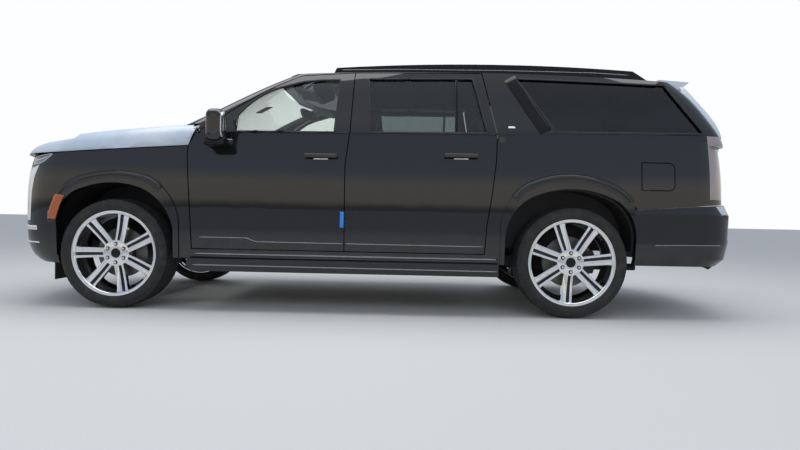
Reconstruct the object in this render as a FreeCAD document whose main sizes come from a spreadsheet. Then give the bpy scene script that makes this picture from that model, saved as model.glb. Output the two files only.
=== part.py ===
import FreeCAD, Part
import math
import os

import Sketcher

V = FreeCAD.Vector
doc = FreeCAD.newDocument("Vehicle")

# Driving sizes in millimetres: cell name, value and what it sets.
# X points forward, Y to the left, Z up; the origin is on the ground under the middle.
SIZES = (
    ("front_end", 2883, "nose ahead of the origin"),
    ("rear_end", 2883, "rear bumper behind the origin"),
    ("half_width", 1030, "widest point of the doors from the middle plane"),
    ("belt", 1335, "height of the lower edge of the side windows"),
    ("gate_set_in", 138, "tailgate skin ahead of the rear bumper"),
    ("roof_crown", 1898, "height of the roof on the middle plane"),
    ("roof_long_radius", 33000, "curve of the roof along the vehicle"),
    ("roof_cross_radius", 5800, "curve of the roof across the vehicle"),
    ("roof_peak_x", -550, "highest place of the roof"),
    ("front_axle", 1903, "front wheel centres ahead of the origin"),
    ("wheelbase", 3406, "front to rear wheel centres"),
    ("half_track", 870, "middle plane to the middle of a tyre"),
    ("tyre_radius", 412, "standing radius of a tyre"),
    ("tyre_width", 285, "across the side walls"),
    ("rim_radius", 322, "outer edge of a rim"),
    ("rim_width", 254, "across the two rim edges"),
    ("rim_wall", 9, "metal of the rim barrel"),
    ("bead_seat", 304, "radius on which the tyre sits"),
    ("hub_radius", 92, "solid middle of a wheel"),
    ("cap_radius", 37, "round cap over the axle end"),
    ("bolt_circle", 70, "radius of the ring of wheel nuts"),
    ("nut_count", 6, "wheel nuts"),
    ("nut_radius", 11, "corner of a wheel nut from its middle"),
    ("nut_pocket", 17, "radius of the recess round a wheel nut"),
    ("spoke_count", 7, "pairs of spokes in a wheel"),
    ("spoke_depth", 86, "spokes before their face and back are turned"),
    ("web_depth", 22, "floor of the slot between two spokes"),
    ("disc_radius", 190, "brake disc"),
    ("disc_thickness", 30, "brake disc"),
    ("shut_gap", 7, "seen gap beside a door, hood or tailgate"),
    ("seat_gap", 0.3, "where two pieces meet without being one"),
    ("running_fit", 0.05, "between a pin and its bore, on the radius"),
    ("door_pin_radius", 4, "door and hood hinge pins"),
    ("front_pin_x", 1290, "front door hinge axis"),
    ("rear_pin_x", 128, "rear door hinge axis"),
    ("pin_depth_front", 23, "front door hinge axis in from the widest point"),
    ("pin_depth_rear", 12, "rear door hinge axis in from the widest point"),
    ("pin_depth_fuel", 39, "fuel door hinge axis in from the widest point"),
    ("hood_pin_x", 1320, "hood hinge axis"),
    ("hood_pin_z", 1355, "hood hinge axis"),
    ("gate_pin_x", -2228, "tailgate hinge axis"),
    ("gate_pin_z", 1864, "tailgate hinge axis"),
    ("fuel_pin_x", -2008, "fuel door hinge axis"),
    ("door_wall", 105, "thickness of a door below its window"),
    ("frame_wall", 42, "thickness of a window frame or roof"),
    ("fascia_wall", 60, "thickness of bumpers, lamps and fenders"),
    ("glass", 5, "thickness of a pane"),
    ("glass_depth", 14, "pane behind the outer surface of its frame"),
    ("rail_height", 130, "frame rail, top to bottom"),
    ("rail_breadth", 75, "frame rail, side to side"),
    ("rail_y", 430, "frame rail from the middle plane"),
    ("rail_z", 330, "underside of the frame rails"),
    ("floor_z", 500, "underside of the cabin floor"),
    ("floor_thickness", 45, "cabin floor"),
    ("cross_breadth", 80, "frame cross members, front to rear"),
    ("mount_radius", 42, "rubber mounts between frame and floor"),
    ("jack_radius", 34, "jacking pads under the frame rails"),
    ("pipe_radius", 32, "exhaust pipe"),
    ("silencer_radius", 86, "exhaust silencer"),
    ("flare", 12, "wheel arch bands stand out from the panels"),
    ("kingpin_y", 800, "steering axis from the middle plane"),
    ("spindle_radius", 30, "shaft on which a wheel turns"),
)

sheet = doc.addObject("Spreadsheet::Sheet", "Sizes")
for row, (alias, value, meaning) in enumerate(SIZES, start=1):
    sheet.set(f"A{row}", meaning)
    sheet.set(f"B{row}", str(value))
    sheet.setAlias(f"B{row}", alias)
doc.recompute()


def size(alias):
    """A driving size, read from the sheet."""
    return float(sheet.get(alias))


FRONT = size("front_end")
REAR = -size("rear_end")
HALF = size("half_width")
BELT = size("belt")
GAP = size("shut_gap")
AXLE_F = size("front_axle")
AXLE_R = AXLE_F - size("wheelbase")
LEFT = 1
RIGHT = -1


def named_feature(label, shape):
    """A sub-part whose shape is worked out here."""
    feature = doc.addObject("Part::Feature", label)
    feature.Label = label
    feature.Shape = shape
    return feature


def mirrored(shape):
    """The same shape on the right-hand side."""
    return shape.mirror(V(0, 0, 0), V(0, 1, 0))


def side_wire(points, y):
    """Closed outline in a side view; a row of four numbers is an arc's middle and end."""
    edges = []
    start = points[-1][-2:]
    for point in points:
        here = V(start[0], y, start[1])
        end = V(point[-2], y, point[-1])
        if len(point) == 4:
            edges.append(Part.Arc(here, V(point[0], y, point[1]), end).toShape())
        else:
            edges.append(Part.makeLine(here, end))
        start = point[-2:]
    return Part.Wire(edges)


def side_prism(points, inner=700, outer=1300):
    """Solid seen as the outline from the left, between two distances from the middle."""
    return Part.Face(side_wire(points, inner)).extrude(V(0, outer - inner, 0))


def end_prism(points, rear, front):
    """Solid seen as the outline from behind, points as (y, z), between two stations."""
    corners = [V(rear, y, z) for y, z in points]
    face = Part.Face(Part.makePolygon(corners + corners[:1]))
    return face.extrude(V(front - rear, 0, 0))


def block(x_range, y_range, z_range):
    """Box between three pairs of coordinates."""
    low = [min(pair) for pair in (x_range, y_range, z_range)]
    high = [max(pair) for pair in (x_range, y_range, z_range)]
    spans = [top - bottom for bottom, top in zip(low, high)]
    return Part.makeBox(*spans, V(*low))


def rounded_block(x_range, y_range, z_range, rear_radius, front_radius):
    """Box whose four edges across the vehicle are rounded, with a radius for each end."""
    solid = block(x_range, y_range, z_range)
    for place, radius in ((min(x_range), rear_radius), (max(x_range), front_radius)):
        across = [edge for edge in solid.Edges
                  if edge.BoundBox.YLength > 1 and max(abs(vertex.X - place) for vertex in edge.Vertexes) < 1e-3
                  and edge.BoundBox.ZLength < 1]
        solid = solid.makeFillet(radius, across)
    return solid


def both_sides(shape):
    """A left-hand solid together with its mirror image."""
    return Part.makeCompound([shape, mirrored(shape)])


# Plan forms: how the outline turns at the nose and at the tail.
# corner: distance behind the end and in from the side; wrap: the same where the side starts.
BODY_NOSE = {"corner": (175, 260), "wrap": (530, 34)}
BODY_TAIL = {"corner": (62, 270), "wrap": (330, 36)}
BUMPER_TAIL = {"corner": (150, 230), "wrap": (430, 30)}
SCREEN_NOSE = {"corner": (130, 182), "wrap": (270, 58)}
SCREEN_TAIL = {"corner": (60, 175), "wrap": (190, 60)}


def tangent_middle(start, direction, end):
    """Middle point of the arc that leaves start along direction and reaches end."""
    chord = end - start
    normal = V(-direction.y, direction.x, 0)
    normal.normalize()
    radius = chord.dot(chord) / (2 * chord.dot(normal))
    centre = start + normal * radius
    outward = (start + end) * 0.5 - centre
    outward.normalize()
    return centre + outward * abs(radius)


def plan_outline(level, nose, half, tail, nose_form, tail_form):
    """Closed outline of the body at one height: eight arcs, tangent along each side."""
    corner = V(nose - nose_form["corner"][0], half - nose_form["corner"][1], level)
    wrap = V(nose - nose_form["wrap"][0], half - nose_form["wrap"][1], level)
    back_wrap = V(tail + tail_form["wrap"][0], half - tail_form["wrap"][1], level)
    back_corner = V(tail + tail_form["corner"][0], half - tail_form["corner"][1], level)
    middle = V((wrap.x + back_wrap.x) / 2, half, level)
    side = Part.Arc(wrap, middle, back_wrap).toShape()
    centre = side.Curve.Center
    along = [V(centre.y - point.y, point.x - centre.x, 0) for point in (wrap, back_wrap)]
    forward = along[0] * math.copysign(1, along[0].x)
    backward = along[1] * -math.copysign(1, along[1].x)
    front_turn = tangent_middle(wrap, forward, corner)
    back_turn = tangent_middle(back_wrap, backward, back_corner)

    def other(point):
        return V(point.x, -point.y, point.z)

    arcs = (
        (other(corner), V(nose, 0, level), corner),
        (corner, front_turn, wrap),
        (wrap, middle, back_wrap),
        (back_wrap, back_turn, back_corner),
        (back_corner, V(tail, 0, level), other(back_corner)),
        (other(back_corner), other(back_turn), other(back_wrap)),
        (other(back_wrap), other(middle), other(wrap)),
        (other(wrap), other(front_turn), other(corner)),
    )
    return Part.Wire([Part.Arc(*three).toShape() for three in arcs])


def lofted(levels, nose_form, tail_form, inset=0, ruled=False):
    """Solid through plan outlines at several heights, moved inwards by inset."""
    wires = [
        plan_outline(level, nose - inset, half - inset, tail + inset, nose_form, tail_form)
        for level, nose, half, tail in levels
    ]
    return Part.makeLoft(wires, True, ruled)


GATE = REAR + size("gate_set_in")

# Height, nose, half width and tail of the lower body.
LOWER_LEVELS = (
    (300, FRONT - 190, HALF - 45, GATE + 60),
    (420, FRONT - 25, HALF - 14, GATE + 20),
    (640, FRONT, HALF - 2, GATE + 2),
    (900, FRONT - 6, HALF, GATE),
    (1150, FRONT - 45, HALF - 20, GATE + 8),
    (BELT, FRONT - 90, HALF - 55, GATE + 22),
)

# The same for the windows and roof, from below the belt to above the roof.
UPPER_LEVELS = (
    (BELT - 45, 1790, HALF - 48, GATE + 15),
    (BELT, 1710, HALF - 55, GATE + 22),
    (1480, 1448, HALF - 105, GATE + 88),
    (1640, 1164, HALF - 160, GATE + 190),
    (1790, 872, HALF - 214, GATE + 330),
    (1930, 560, HALF - 268, GATE + 470),
)


def lower_form(inset=0):
    return lofted(LOWER_LEVELS, BODY_NOSE, BODY_TAIL, inset)


def roof_dome(drop=0):
    """Everything under the roof's surface, which curves along and across."""
    long_radius = size("roof_long_radius")
    top = size("roof_crown") - drop
    reach = 1400
    sag = reach ** 2 / (2 * size("roof_cross_radius"))
    arc = Part.Arc(V(0, -reach, top - sag), V(0, 0, top), V(0, reach, top - sag)).toShape()
    base = 900
    corners = [V(0, reach, top - sag), V(0, reach, base), V(0, -reach, base), V(0, -reach, top - sag)]
    face = Part.Face(Part.Wire([arc] + Part.makePolygon(corners).Edges))
    face.translate(V(size("roof_peak_x"), 0, 0))
    pivot = V(size("roof_peak_x"), 0, top - long_radius)
    face.rotate(pivot, V(0, 1, 0), -6)
    return face.revolve(pivot, V(0, 1, 0), 12)


def upper_form(inset=0):
    """Cabin above the belt: lofted sides and ends under the domed roof."""
    return lofted(UPPER_LEVELS, SCREEN_NOSE, SCREEN_TAIL, inset).common(roof_dome(inset))


lower_outer = lower_form()
upper_outer = upper_form()
cabin_top = upper_form(size("frame_wall"))
upper_shell = upper_outer.cut(cabin_top)
door_shell = lower_outer.cut(lower_form(size("door_wall")))
fascia_inner = lower_form(size("fascia_wall"))
fascia_shell = lower_outer.cut(fascia_inner)

# Side view outlines as (x, z): the joints between the panels.
DOOR_FOOT = 462
SILL_FOOT = 390
FENDER_REAR = 1357
PILLAR = 159
REAR_SHUT = -938
ROOF_EDGE = 1836


def front_door_outline(gap):
    """Front door with its window frame; gap shrinks it all round."""
    return (
        (1310 - gap, DOOR_FOOT + gap),
        (1336 - gap, 909, FENDER_REAR - gap, 1184),
        (1353 - gap, 1228),
        (1307 - gap, 1349 - gap),
        (1185 - gap, 1425 - gap),
        (905 - gap, 1630 - gap, 560, ROOF_EDGE - 24 - gap),
        (PILLAR - 20 + gap, ROOF_EDGE - gap),
        (PILLAR - 7 + gap, 1342),
        (PILLAR + 19 + gap, 1101),
        (PILLAR + 15 + gap, DOOR_FOOT + gap),
    )


def rear_door_outline(gap):
    """Rear door, cut away low down for the wheel arch."""
    return (
        (PILLAR + 15 - gap, DOOR_FOOT + gap),
        (PILLAR + 19 - gap, 1101),
        (PILLAR - 7 - gap, 1342),
        (PILLAR - 20 - gap, ROOF_EDGE - gap),
        (-835 + gap, ROOF_EDGE + 2 - gap),
        (REAR_SHUT - 3 + gap, 1348),
        (REAR_SHUT + 5 + gap, 1144),
        (-906 + gap, 910),
        (-871 + gap, 676),
        (-858 + gap, DOOR_FOOT + gap),
    )


FRONT_WINDOW = (
    (1021, 1345),
    (1024, 1479),
    (890, 1622, 714, 1713),
    (534, 1763, 246, 1778),
    (268, 1345),
)
REAR_WINDOW = (
    (28, 1783),
    (-4, 1350),
    (-868, 1356),
    (-765, 1790),
)
QUARTER_WINDOW = (
    (-1096, 1797),
    (-2236, 1772),
    (-2262, 1728),
    (-2484, 1386),
    (-1379, 1375),
)


def arch_outline(axle, rows, foot):
    """Wheel opening: three arcs over the wheel, then straight down."""
    start, *arcs = rows
    points = [(axle + start[0], foot), (axle + start[0], start[1])]
    for mid_x, mid_z, end_x, end_z in arcs:
        points.append((axle + mid_x, mid_z, axle + end_x, end_z))
    points.append((axle + arcs[-1][2], foot))
    return tuple(points)


ARCH_FOOT = 200
FRONT_ROWS = ((430, 600), (360, 822, 221, 902), (8, 941, -197, 910), (-352, 809, -456, 600))
REAR_ROWS = ((500, 560), (452, 750, 322, 882), (8, 953, -322, 866), (-432, 728, -458, 560))
STEER_ROWS = ((485, 620), (400, 846, 243, 932), (8, 968, -219, 940), (-388, 834, -499, 600))
FRONT_FLARE_ROWS = ((500, 640), (400, 886, 216, 990), (6, 1026, -201, 1005), (-385, 900, -496, 640))
REAR_FLARE_ROWS = ((532, 600), (462, 868, 301, 1004), (14, 1058, -279, 989), (-438, 850, -505, 600))
FRONT_ARCH = arch_outline(AXLE_F, FRONT_ROWS, ARCH_FOOT)
REAR_ARCH = arch_outline(AXLE_R, REAR_ROWS, ARCH_FOOT)
STEER_ARCH = arch_outline(AXLE_F, STEER_ROWS, ARCH_FOOT)
LIP_Y = 945
flared_outer = lower_form(-size("flare"))
FRONT_FLARE = side_prism(arch_outline(AXLE_F, FRONT_FLARE_ROWS, SILL_FOOT))
REAR_FLARE = side_prism(arch_outline(AXLE_R, REAR_FLARE_ROWS, SILL_FOOT))


def flared(panel, area, room, inner):
    """The panel with the part inside an area standing out as a band, down to an inner form."""
    band = flared_outer.common(area.common(room)).cut(inner)
    return panel.cut(area).fuse(band)


HOOD_SHUT = ((2520, 1150), (2331, 1163), (1938, 1191), (1353, 1228), (1307, 1349))


def above(line, top=2200):
    """Side view area over a line that runs rearwards."""
    return ((line[0][0] + 700, top), (line[0][0] + 700, line[0][1] - 35)) + tuple(line) + (
        (line[-1][0] - 22, top),
    )


def inset(points, amount):
    """The same outline with every point moved towards the middle along each axis."""
    flat = [value for point in points for value in (point[-2:],)]
    middle_x = sum(x for x, _ in flat) / len(flat)
    middle_z = sum(z for _, z in flat) / len(flat)

    def pull(value, middle):
        return value + math.copysign(amount, middle - value)

    return tuple(
        tuple(pull(value, (middle_x, middle_z)[index % 2]) for index, value in enumerate(point))
        for point in points
    )


def surface_y(form, x, z):
    """How far the outer surface stands from the middle plane at one place of a side view."""
    line = Part.makeLine(V(x, 0, z), V(x, 1400, z))
    return max(vertex.Y for vertex in form.common(line).Vertexes)


def rod(x, y_range, z, radius):
    """Round bar across the vehicle."""
    return Part.makeCylinder(radius, y_range[1] - y_range[0], V(x, y_range[0], z), V(0, 1, 0))


def post(x, y, z_range, radius):
    """Upright round bar."""
    return Part.makeCylinder(radius, z_range[1] - z_range[0], V(x, y, z_range[0]))


SEAT = size("seat_gap")
FIT = size("running_fit")
PIN = size("door_pin_radius")
SKIN_LINE = BELT - 12
GLASS = size("glass")

# One shell of the whole side: thick fascia below the belt, frame thickness above it.
full_shell = fascia_shell.common(block((-3000, 3000), (-1300, 1300), (0, SKIN_LINE))).fuse(
    upper_shell.common(block((-3000, 3000), (-1300, 1300), (BELT - 40, 2000))))


# Doors, each hung on two upright pins; the arms of the pins stand on the body
HEM = 12
under_skin = lower_form(HEM).common(block((-3000, 3000), (-1300, 1300), (0, SKIN_LINE))).fuse(
    upper_form(HEM).common(block((-3000, 3000), (-1300, 1300), (SKIN_LINE, 2000))))


def door_solid(outline, window, rear_edge):
    """Thick below the belt, a thin window frame above it."""
    panel = door_shell.common(side_prism(outline, 600)).common(
        block((-1200, 1500), (300, 1300), (DOOR_FOOT, SKIN_LINE)))
    frame = upper_shell.common(side_prism(outline)).common(
        block((-1200, 1500), (300, 1300), (BELT - 40, 2000)))
    clear = under_skin.common(side_prism(rear_edge, 600))
    return panel.fuse(frame.cut(side_prism(window))).cut(clear).removeSplitter()


def rear_step(line, depth):
    """Strip along a door's rear edge where only the outer skin goes on to the gap."""
    return tuple(line) + tuple((x + depth, z) for x, z in reversed(line))


HINGE_LEVELS = (640, 1010)
ARM_HALF = 14
PIN_HALF = 34


def hinge_slots(pin_x, pin_y, front):
    """What a door loses for its hinges: a slot round each arm and bores for the pin."""
    cuts = []
    for level in HINGE_LEVELS:
        cuts.append(block((pin_x - PIN - SEAT, front), (700, pin_y + PIN + SEAT),
                          (level - ARM_HALF - SEAT, level + ARM_HALF + SEAT)))
        cuts.append(post(pin_x, pin_y, (level - PIN_HALF - SEAT, level + PIN_HALF + SEAT), PIN + FIT))
    return cuts


def hinge_arms(pin_x, pin_y, root_y):
    """Arms from a pillar with the pins on their ends."""
    pieces = []
    for level in HINGE_LEVELS:
        pieces.append(block((pin_x - PIN, pin_x + PIN), (root_y, pin_y), (level - ARM_HALF, level + ARM_HALF)))
        pieces.append(post(pin_x, pin_y, (level - PIN_HALF, level + PIN_HALF), PIN))
    return pieces


def handle(x_rear, x_front, z):
    """Pull handle standing off the door on two feet."""
    y = surface_y(lower_outer, (x_rear + x_front) / 2, z)
    bar = block((x_rear, x_front), (y + 14, y + 34), (z - 15, z + 15))
    bar = bar.makeFillet(8, bar.Edges)
    feet = [block((x, x + 34), (y - 20, y + 18), (z - 12, z + 12)) for x in (x_rear + 4, x_front - 38)]
    return bar.fuse(feet)


# Stations across the mirror as distance out, rear, front, low, high and corner radius
MIRROR_FOOT = ((960, 1000, 1226, 1222, 1284, 20), (1020, 1010, 1214, 1224, 1280, 20), (1100, 1060, 1160, 1232, 1270, 14))
MIRROR_HOUSING = (
    (1030, 1066, 1150, 1272, 1440, 34),
    (1052, 1048, 1166, 1246, 1470, 42),
    (1120, 1040, 1172, 1240, 1480, 46),
    (1166, 1050, 1158, 1252, 1466, 42),
    (1184, 1066, 1130, 1284, 1436, 28),
)


def rounded_section(y, rear, front, low, high, radius):
    """Rectangle with round corners at one distance from the middle."""
    part = radius * (1 - math.sqrt(0.5))
    corners = ((rear, low, 1, 1), (front, low, -1, 1), (front, high, -1, -1), (rear, high, 1, -1))
    arcs = []
    for x, z, right, up in corners:
        ends = [V(x, y, z + up * radius), V(x + right * part, y, z + up * part), V(x + right * radius, y, z)]
        arcs.append(ends if right * up > 0 else ends[::-1])
    edges = []
    for arc, following in zip(arcs, arcs[1:] + arcs[:1]):
        edges.append(Part.Arc(*arc).toShape())
        edges.append(Part.makeLine(arc[2], following[0]))
    return Part.Wire(edges)


def mirror():
    """Smooth housing on a foot that grows out of the door."""
    housing = Part.makeLoft([rounded_section(*station) for station in MIRROR_HOUSING], True)
    foot = Part.makeLoft([rounded_section(*station) for station in MIRROR_FOOT], True, True)
    return housing.fuse(foot)


FRONT_PIN = (size("front_pin_x"), HALF - size("pin_depth_front"))
REAR_PIN = (size("rear_pin_x"), HALF - size("pin_depth_rear"))
FRONT_DOOR_REAR = ((100, 1900), (PILLAR - 20, ROOF_EDGE), (PILLAR - 7, 1342), (PILLAR + 19, 1101), (PILLAR + 15, 400))
REAR_DOOR_REAR = ((-820, 1900), (-835, ROOF_EDGE + 2), (REAR_SHUT - 3, 1348), (REAR_SHUT + 5, 1144), (-906, 910),
                  (-871, 676), (-858, 400))
front_door = door_solid(front_door_outline(GAP / 2), FRONT_WINDOW, rear_step(FRONT_DOOR_REAR, 20))
front_door = front_door.cut(hinge_slots(*FRONT_PIN, 1400)).fuse([mirror(), handle(235, 480, 1163)])
rear_door = door_solid(rear_door_outline(GAP / 2), REAR_WINDOW, rear_step(REAR_DOOR_REAR, 20))
rear_door = rear_door.cut(hinge_slots(*REAR_PIN, 200)).fuse(handle(-800, -550, 1181))
pane_shell = upper_form(size("glass_depth")).cut(upper_form(size("glass_depth") + GLASS))
front_glass = pane_shell.common(side_prism(inset(FRONT_WINDOW, SEAT)))
rear_glass = pane_shell.common(side_prism(inset(REAR_WINDOW, SEAT)))
quarter_glass = pane_shell.common(side_prism(inset(QUARTER_WINDOW, SEAT)))

for suffix, turn in (("left", lambda shape: shape), ("right", mirrored)):
    named_feature(f"front_door_{suffix}", turn(front_door))
    named_feature(f"rear_door_{suffix}", turn(rear_door))
    named_feature(f"front_door_glass_{suffix}", turn(front_glass))
    named_feature(f"rear_door_glass_{suffix}", turn(rear_glass))

# Tailgate, hung on two barrels at the rear edge of the roof
GATE_TOP_X = -2236
GATE_FOOT = 868
GATE_EDGE = ((0, GATE_FOOT), (790, GATE_FOOT), (790, BELT + 70), (655, 1800), (640, 1960), (0, 1960))
GATE_PIN = (size("gate_pin_x"), size("gate_pin_z"))
GATE_HINGE_Y = (-430, 430)


def gate_area(gap):
    """Area of the tailgate seen from behind, both halves."""
    half = [(y - gap if y else 0, z + gap if z == GATE_FOOT else z) for y, z in GATE_EDGE]
    return end_prism(half + [(-y, z) for y, z in reversed(half) if y], -3000, GATE_TOP_X - gap)


gate_cut = gate_area(0)
gate_panel = door_shell.common(block((-3000, -2300), (-1100, 1100), (800, SKIN_LINE)))
gate_frame = upper_shell.common(block((-3000, -2200), (-1100, 1100), (BELT - 40, 2000)))
rear_window = ((-600, 1400), (600, 1400), (520, 1720), (-520, 1720))
SPOILER = ((-2262, 1856), (-2500, 1838), (-2482, 1822), (-2420, 1770), (-2330, 1790))
spoiler = Part.Face(side_wire(SPOILER, -600)).extrude(V(0, 1200, 0))
tailgate = gate_panel.fuse(gate_frame).common(gate_area(GAP)).cut(end_prism(rear_window, -3000, -2200))
gate_step = under_skin.common(gate_area(GAP).cut(gate_area(GAP + 24)))
tailgate = tailgate.cut(gate_step).fuse(spoiler)
gate_lugs = []
roof_brackets = []
for y in GATE_HINGE_Y:
    x, z = GATE_PIN
    lug = rod(x, (y - 22, y + 22), z, 9).fuse(block((x - 70, x), (y - 22, y + 22), (z - 9, z - 1)))
    lug = lug.fuse(block((x - 70, x - 30), (y - 22, y + 22), (z - 60, z - 5)))
    gate_lugs.append(lug.cut(rod(x, (y - 40, y + 40), z, PIN + FIT)))
    bracket = rod(x, (y - 38, y + 38), z, PIN)
    for low in (y - 38, y + 22.3):
        bracket = bracket.fuse(rod(x, (low, low + 15.7), z, 8)).fuse(
            block((x - 8, x + 40), (low, low + 15.7), (z - 48, z)))
    roof_brackets.append(bracket)
tailgate = tailgate.fuse(gate_lugs)
named_feature("tailgate", tailgate.removeSplitter())
named_feature("tailgate_glass", pane_shell.common(end_prism(
    [(y - math.copysign(SEAT, y), z + (SEAT if z == 1400 else -SEAT)) for y, z in rear_window], -3000, -2200)))

# Hood: a clamshell whose sides come down to the fenders
HOOD_STATIONS = (
    (1240, 1398, 1388, HALF - 45),
    (1622, 1394, 1362, HALF - 42),
    (2010, 1364, 1325, HALF - 44),
    (2300, 1322, 1285, HALF - 50),
    (2620, 1262, 1222, HALF - 70),
    (2960, 1185, 1150, HALF - 100),
)
HOOD_LEVELS = (
    (1000, FRONT - 40, HALF + 60, GATE),
    (1150, FRONT - 55, HALF + 60, GATE),
    (1195, FRONT - 95, HALF + 60, GATE),
    (1235, FRONT - 190, HALF + 60, GATE),
    (1260, FRONT - 330, HALF + 60, GATE),
    (1420, FRONT - 700, HALF + 60, GATE),
)


def hood_section(x, crown, shoulder, half, depth):
    """Section across the hood: crowned top, rounded shoulders and upright sides."""
    top = crown - depth
    edge = shoulder - depth
    side = half - depth
    foot = 1000
    left = [V(x, side, foot), V(x, side, edge - 95), V(x, 0.97 * side, edge - 24), V(x, 0.82 * side, edge)]
    right = [V(point.x, -point.y, point.z) for point in left]
    return Part.Wire([
        Part.makeLine(right[0], left[0]),
        Part.makeLine(left[0], left[1]),
        Part.Arc(left[1], left[2], left[3]).toShape(),
        Part.Arc(left[3], V(x, 0, top), right[3]).toShape(),
        Part.Arc(right[3], right[2], right[1]).toShape(),
        Part.makeLine(right[1], right[0]),
    ])


def hood_form(depth=0):
    """Everything under the hood's skin, moved inwards by depth."""
    sections = [hood_section(*station, depth) for station in HOOD_STATIONS]
    nose = lofted(HOOD_LEVELS, BODY_NOSE, BODY_TAIL, depth)
    return Part.makeLoft(sections, True).common(nose)


HOOD_REAR = 1303
HOOD_PIN = (size("hood_pin_x"), size("hood_pin_z"))
hood_area = side_prism(above([(x, z + GAP / 2) for x, z in HOOD_SHUT]), -1300, 1300)
screen_room = upper_form(-2 * GAP).common(block((HOOD_REAR - 50, 2200), (-1300, 1300), (BELT, 2000)))
hood = hood_form().cut(hood_form(32)).common(hood_area)
hood = hood.common(block((HOOD_REAR + GAP, 3000), (-1300, 1300), (1100, 1500))).cut(screen_room)
hood = max(hood.Solids, key=lambda solid: solid.Volume)
hood_bracket_room = both_sides(block((HOOD_REAR, HOOD_PIN[0] + 16), (880, 942), (1300, 1420)))
hood = hood.cut(hood_bracket_room).cut(rod(HOOD_PIN[0], (-1000, 1000), HOOD_PIN[1], PIN + FIT))
named_feature("hood", max(hood.Solids, key=lambda solid: solid.Volume))

# Body sides: sill, pillars, roof edge and quarter panel
TAIL_LAMP_X = -2500
FUEL_X = (-2240, -1992)
FUEL_Z = (950, 1160)
FUEL_CORNERS = (45, 14)
FUEL_PIN = (size("fuel_pin_x"), sum(FUEL_Z) / 2)
ROOF_SIDE = 690
SCREEN_AREA = ((-735, 1372), (735, 1372), (640, 1800), (-640, 1800))
screen_area = end_prism(SCREEN_AREA, 500, 2400)
lamp_slot = block((-3000, TAIL_LAMP_X), (GATE_EDGE[2][0] - 40, 1200), (895, 1368))
BUMPER_FRONT = AXLE_R - 440
BUMPER_LINE = ((BUMPER_FRONT, 0), (BUMPER_FRONT, 812), (-3000, 884), (-3000, 0))
body_side = full_shell.common(block((-3000, 1800), (ROOF_SIDE, 1300), (SILL_FOOT, 2000)))
body_side = flared(body_side, REAR_FLARE, block((BUMPER_FRONT, 0), (ROOF_SIDE, 1300), (SILL_FOOT, 1100)), fascia_inner)
under_hood = block((HOOD_REAR, 3000), (0, 1300), (0, BELT + 4)).fuse(
    hood_form(-GAP).common(block((HOOD_REAR, 3000), (0, 1300), (1000, 1500))))
for cut in (
    side_prism(front_door_outline(-GAP / 2)),
    side_prism(rear_door_outline(-GAP / 2)),
    side_prism(QUARTER_WINDOW),
    side_prism(REAR_ARCH),
    gate_cut,
    lamp_slot,
    side_prism(BUMPER_LINE, 300),
    under_hood,
    screen_area,
):
    body_side = body_side.cut(cut)
body_side = max(body_side.Solids, key=lambda solid: solid.Volume)
centre_post = Part.makeLoft(
    [
        Part.makePolygon([V(x, y, z) for x, y in ((100, y0), (210, y0), (210, y0 + 35), (100, y0 + 35), (100, y0))])
        for y0, z in ((830, 420), (840, 900), (825, 1330), (748, 1600), (664, 1830))
    ],
    True,
    True,
)
centre_post = centre_post.cut([block((0, 300), (600, ROOF_SIDE + SEAT), (1750, 1900)), block((0, 300), (699, 900), (1780, 1900))])
WALL_X = (1255, 1285)
POST_Y = 800
hinge_post = block((WALL_X[1] - 25, 1400), (POST_Y, POST_Y + 46), (420, 1334))
rear_post = block((-998, -955), (850, 980), (430, 1330))
sill_box = block((-960, 1398), (POST_Y, 925), (SILL_FOOT, 450))
body_side = body_side.fuse([sill_box, hinge_post, centre_post, rear_post])
hood_bracket = block((HOOD_REAR - 9, HOOD_PIN[0]), (890, 935), (HOOD_PIN[1] + 5, HOOD_PIN[1] + 10))
hood_bracket = hood_bracket.fuse(rod(HOOD_PIN[0], (890, 935), HOOD_PIN[1], 10))
body_side = body_side.fuse([hood_bracket, rod(HOOD_PIN[0], (925, 962), HOOD_PIN[1], PIN)])
body_side = body_side.fuse(hinge_arms(*FRONT_PIN, POST_Y + 40) + hinge_arms(*REAR_PIN, 860))
body_side = body_side.removeSplitter()
named_feature("body_side_right", mirrored(body_side))

fuel_y = HALF - size("pin_depth_fuel")
fuel_arm = block((FUEL_PIN[0] - 2, FUEL_PIN[0] + 2), (fuel_y - 32, fuel_y), (FUEL_PIN[1] - 8, FUEL_PIN[1] + 8))
fuel_arm = fuel_arm.fuse(block((FUEL_PIN[0] - 2, -1985), (fuel_y - 32, fuel_y - 26), (FUEL_PIN[1] - 8, FUEL_PIN[1] + 8)))
fuel_arm = fuel_arm.fuse(post(FUEL_PIN[0], fuel_y, (FUEL_PIN[1] - 20, FUEL_PIN[1] + 20), 2))
fuel_opening = rounded_block(FUEL_X, (700, 1300), FUEL_Z, *FUEL_CORNERS)
named_feature("body_side_left", body_side.cut(fuel_opening).fuse(fuel_arm))
fuel_room = rounded_block((FUEL_X[0] + GAP, FUEL_X[1] - GAP), (700, 1300), (FUEL_Z[0] + GAP, FUEL_Z[1] - GAP),
                          *[radius - GAP for radius in FUEL_CORNERS])
fuel_door = lower_outer.cut(lower_form(12)).common(fuel_room)
fuel_door = fuel_door.cut([
    block((FUEL_PIN[0] - 2 - SEAT, -1990), (fuel_y - 40, fuel_y + 2 + SEAT), (FUEL_PIN[1] - 8 - SEAT, FUEL_PIN[1] + 8 + SEAT)),
    post(FUEL_PIN[0], fuel_y, (FUEL_PIN[1] - 20 - SEAT, FUEL_PIN[1] + 20 + SEAT), 2 + FIT)])
named_feature("fuel_door", fuel_door)
named_feature("quarter_glass", both_sides(quarter_glass))

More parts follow.
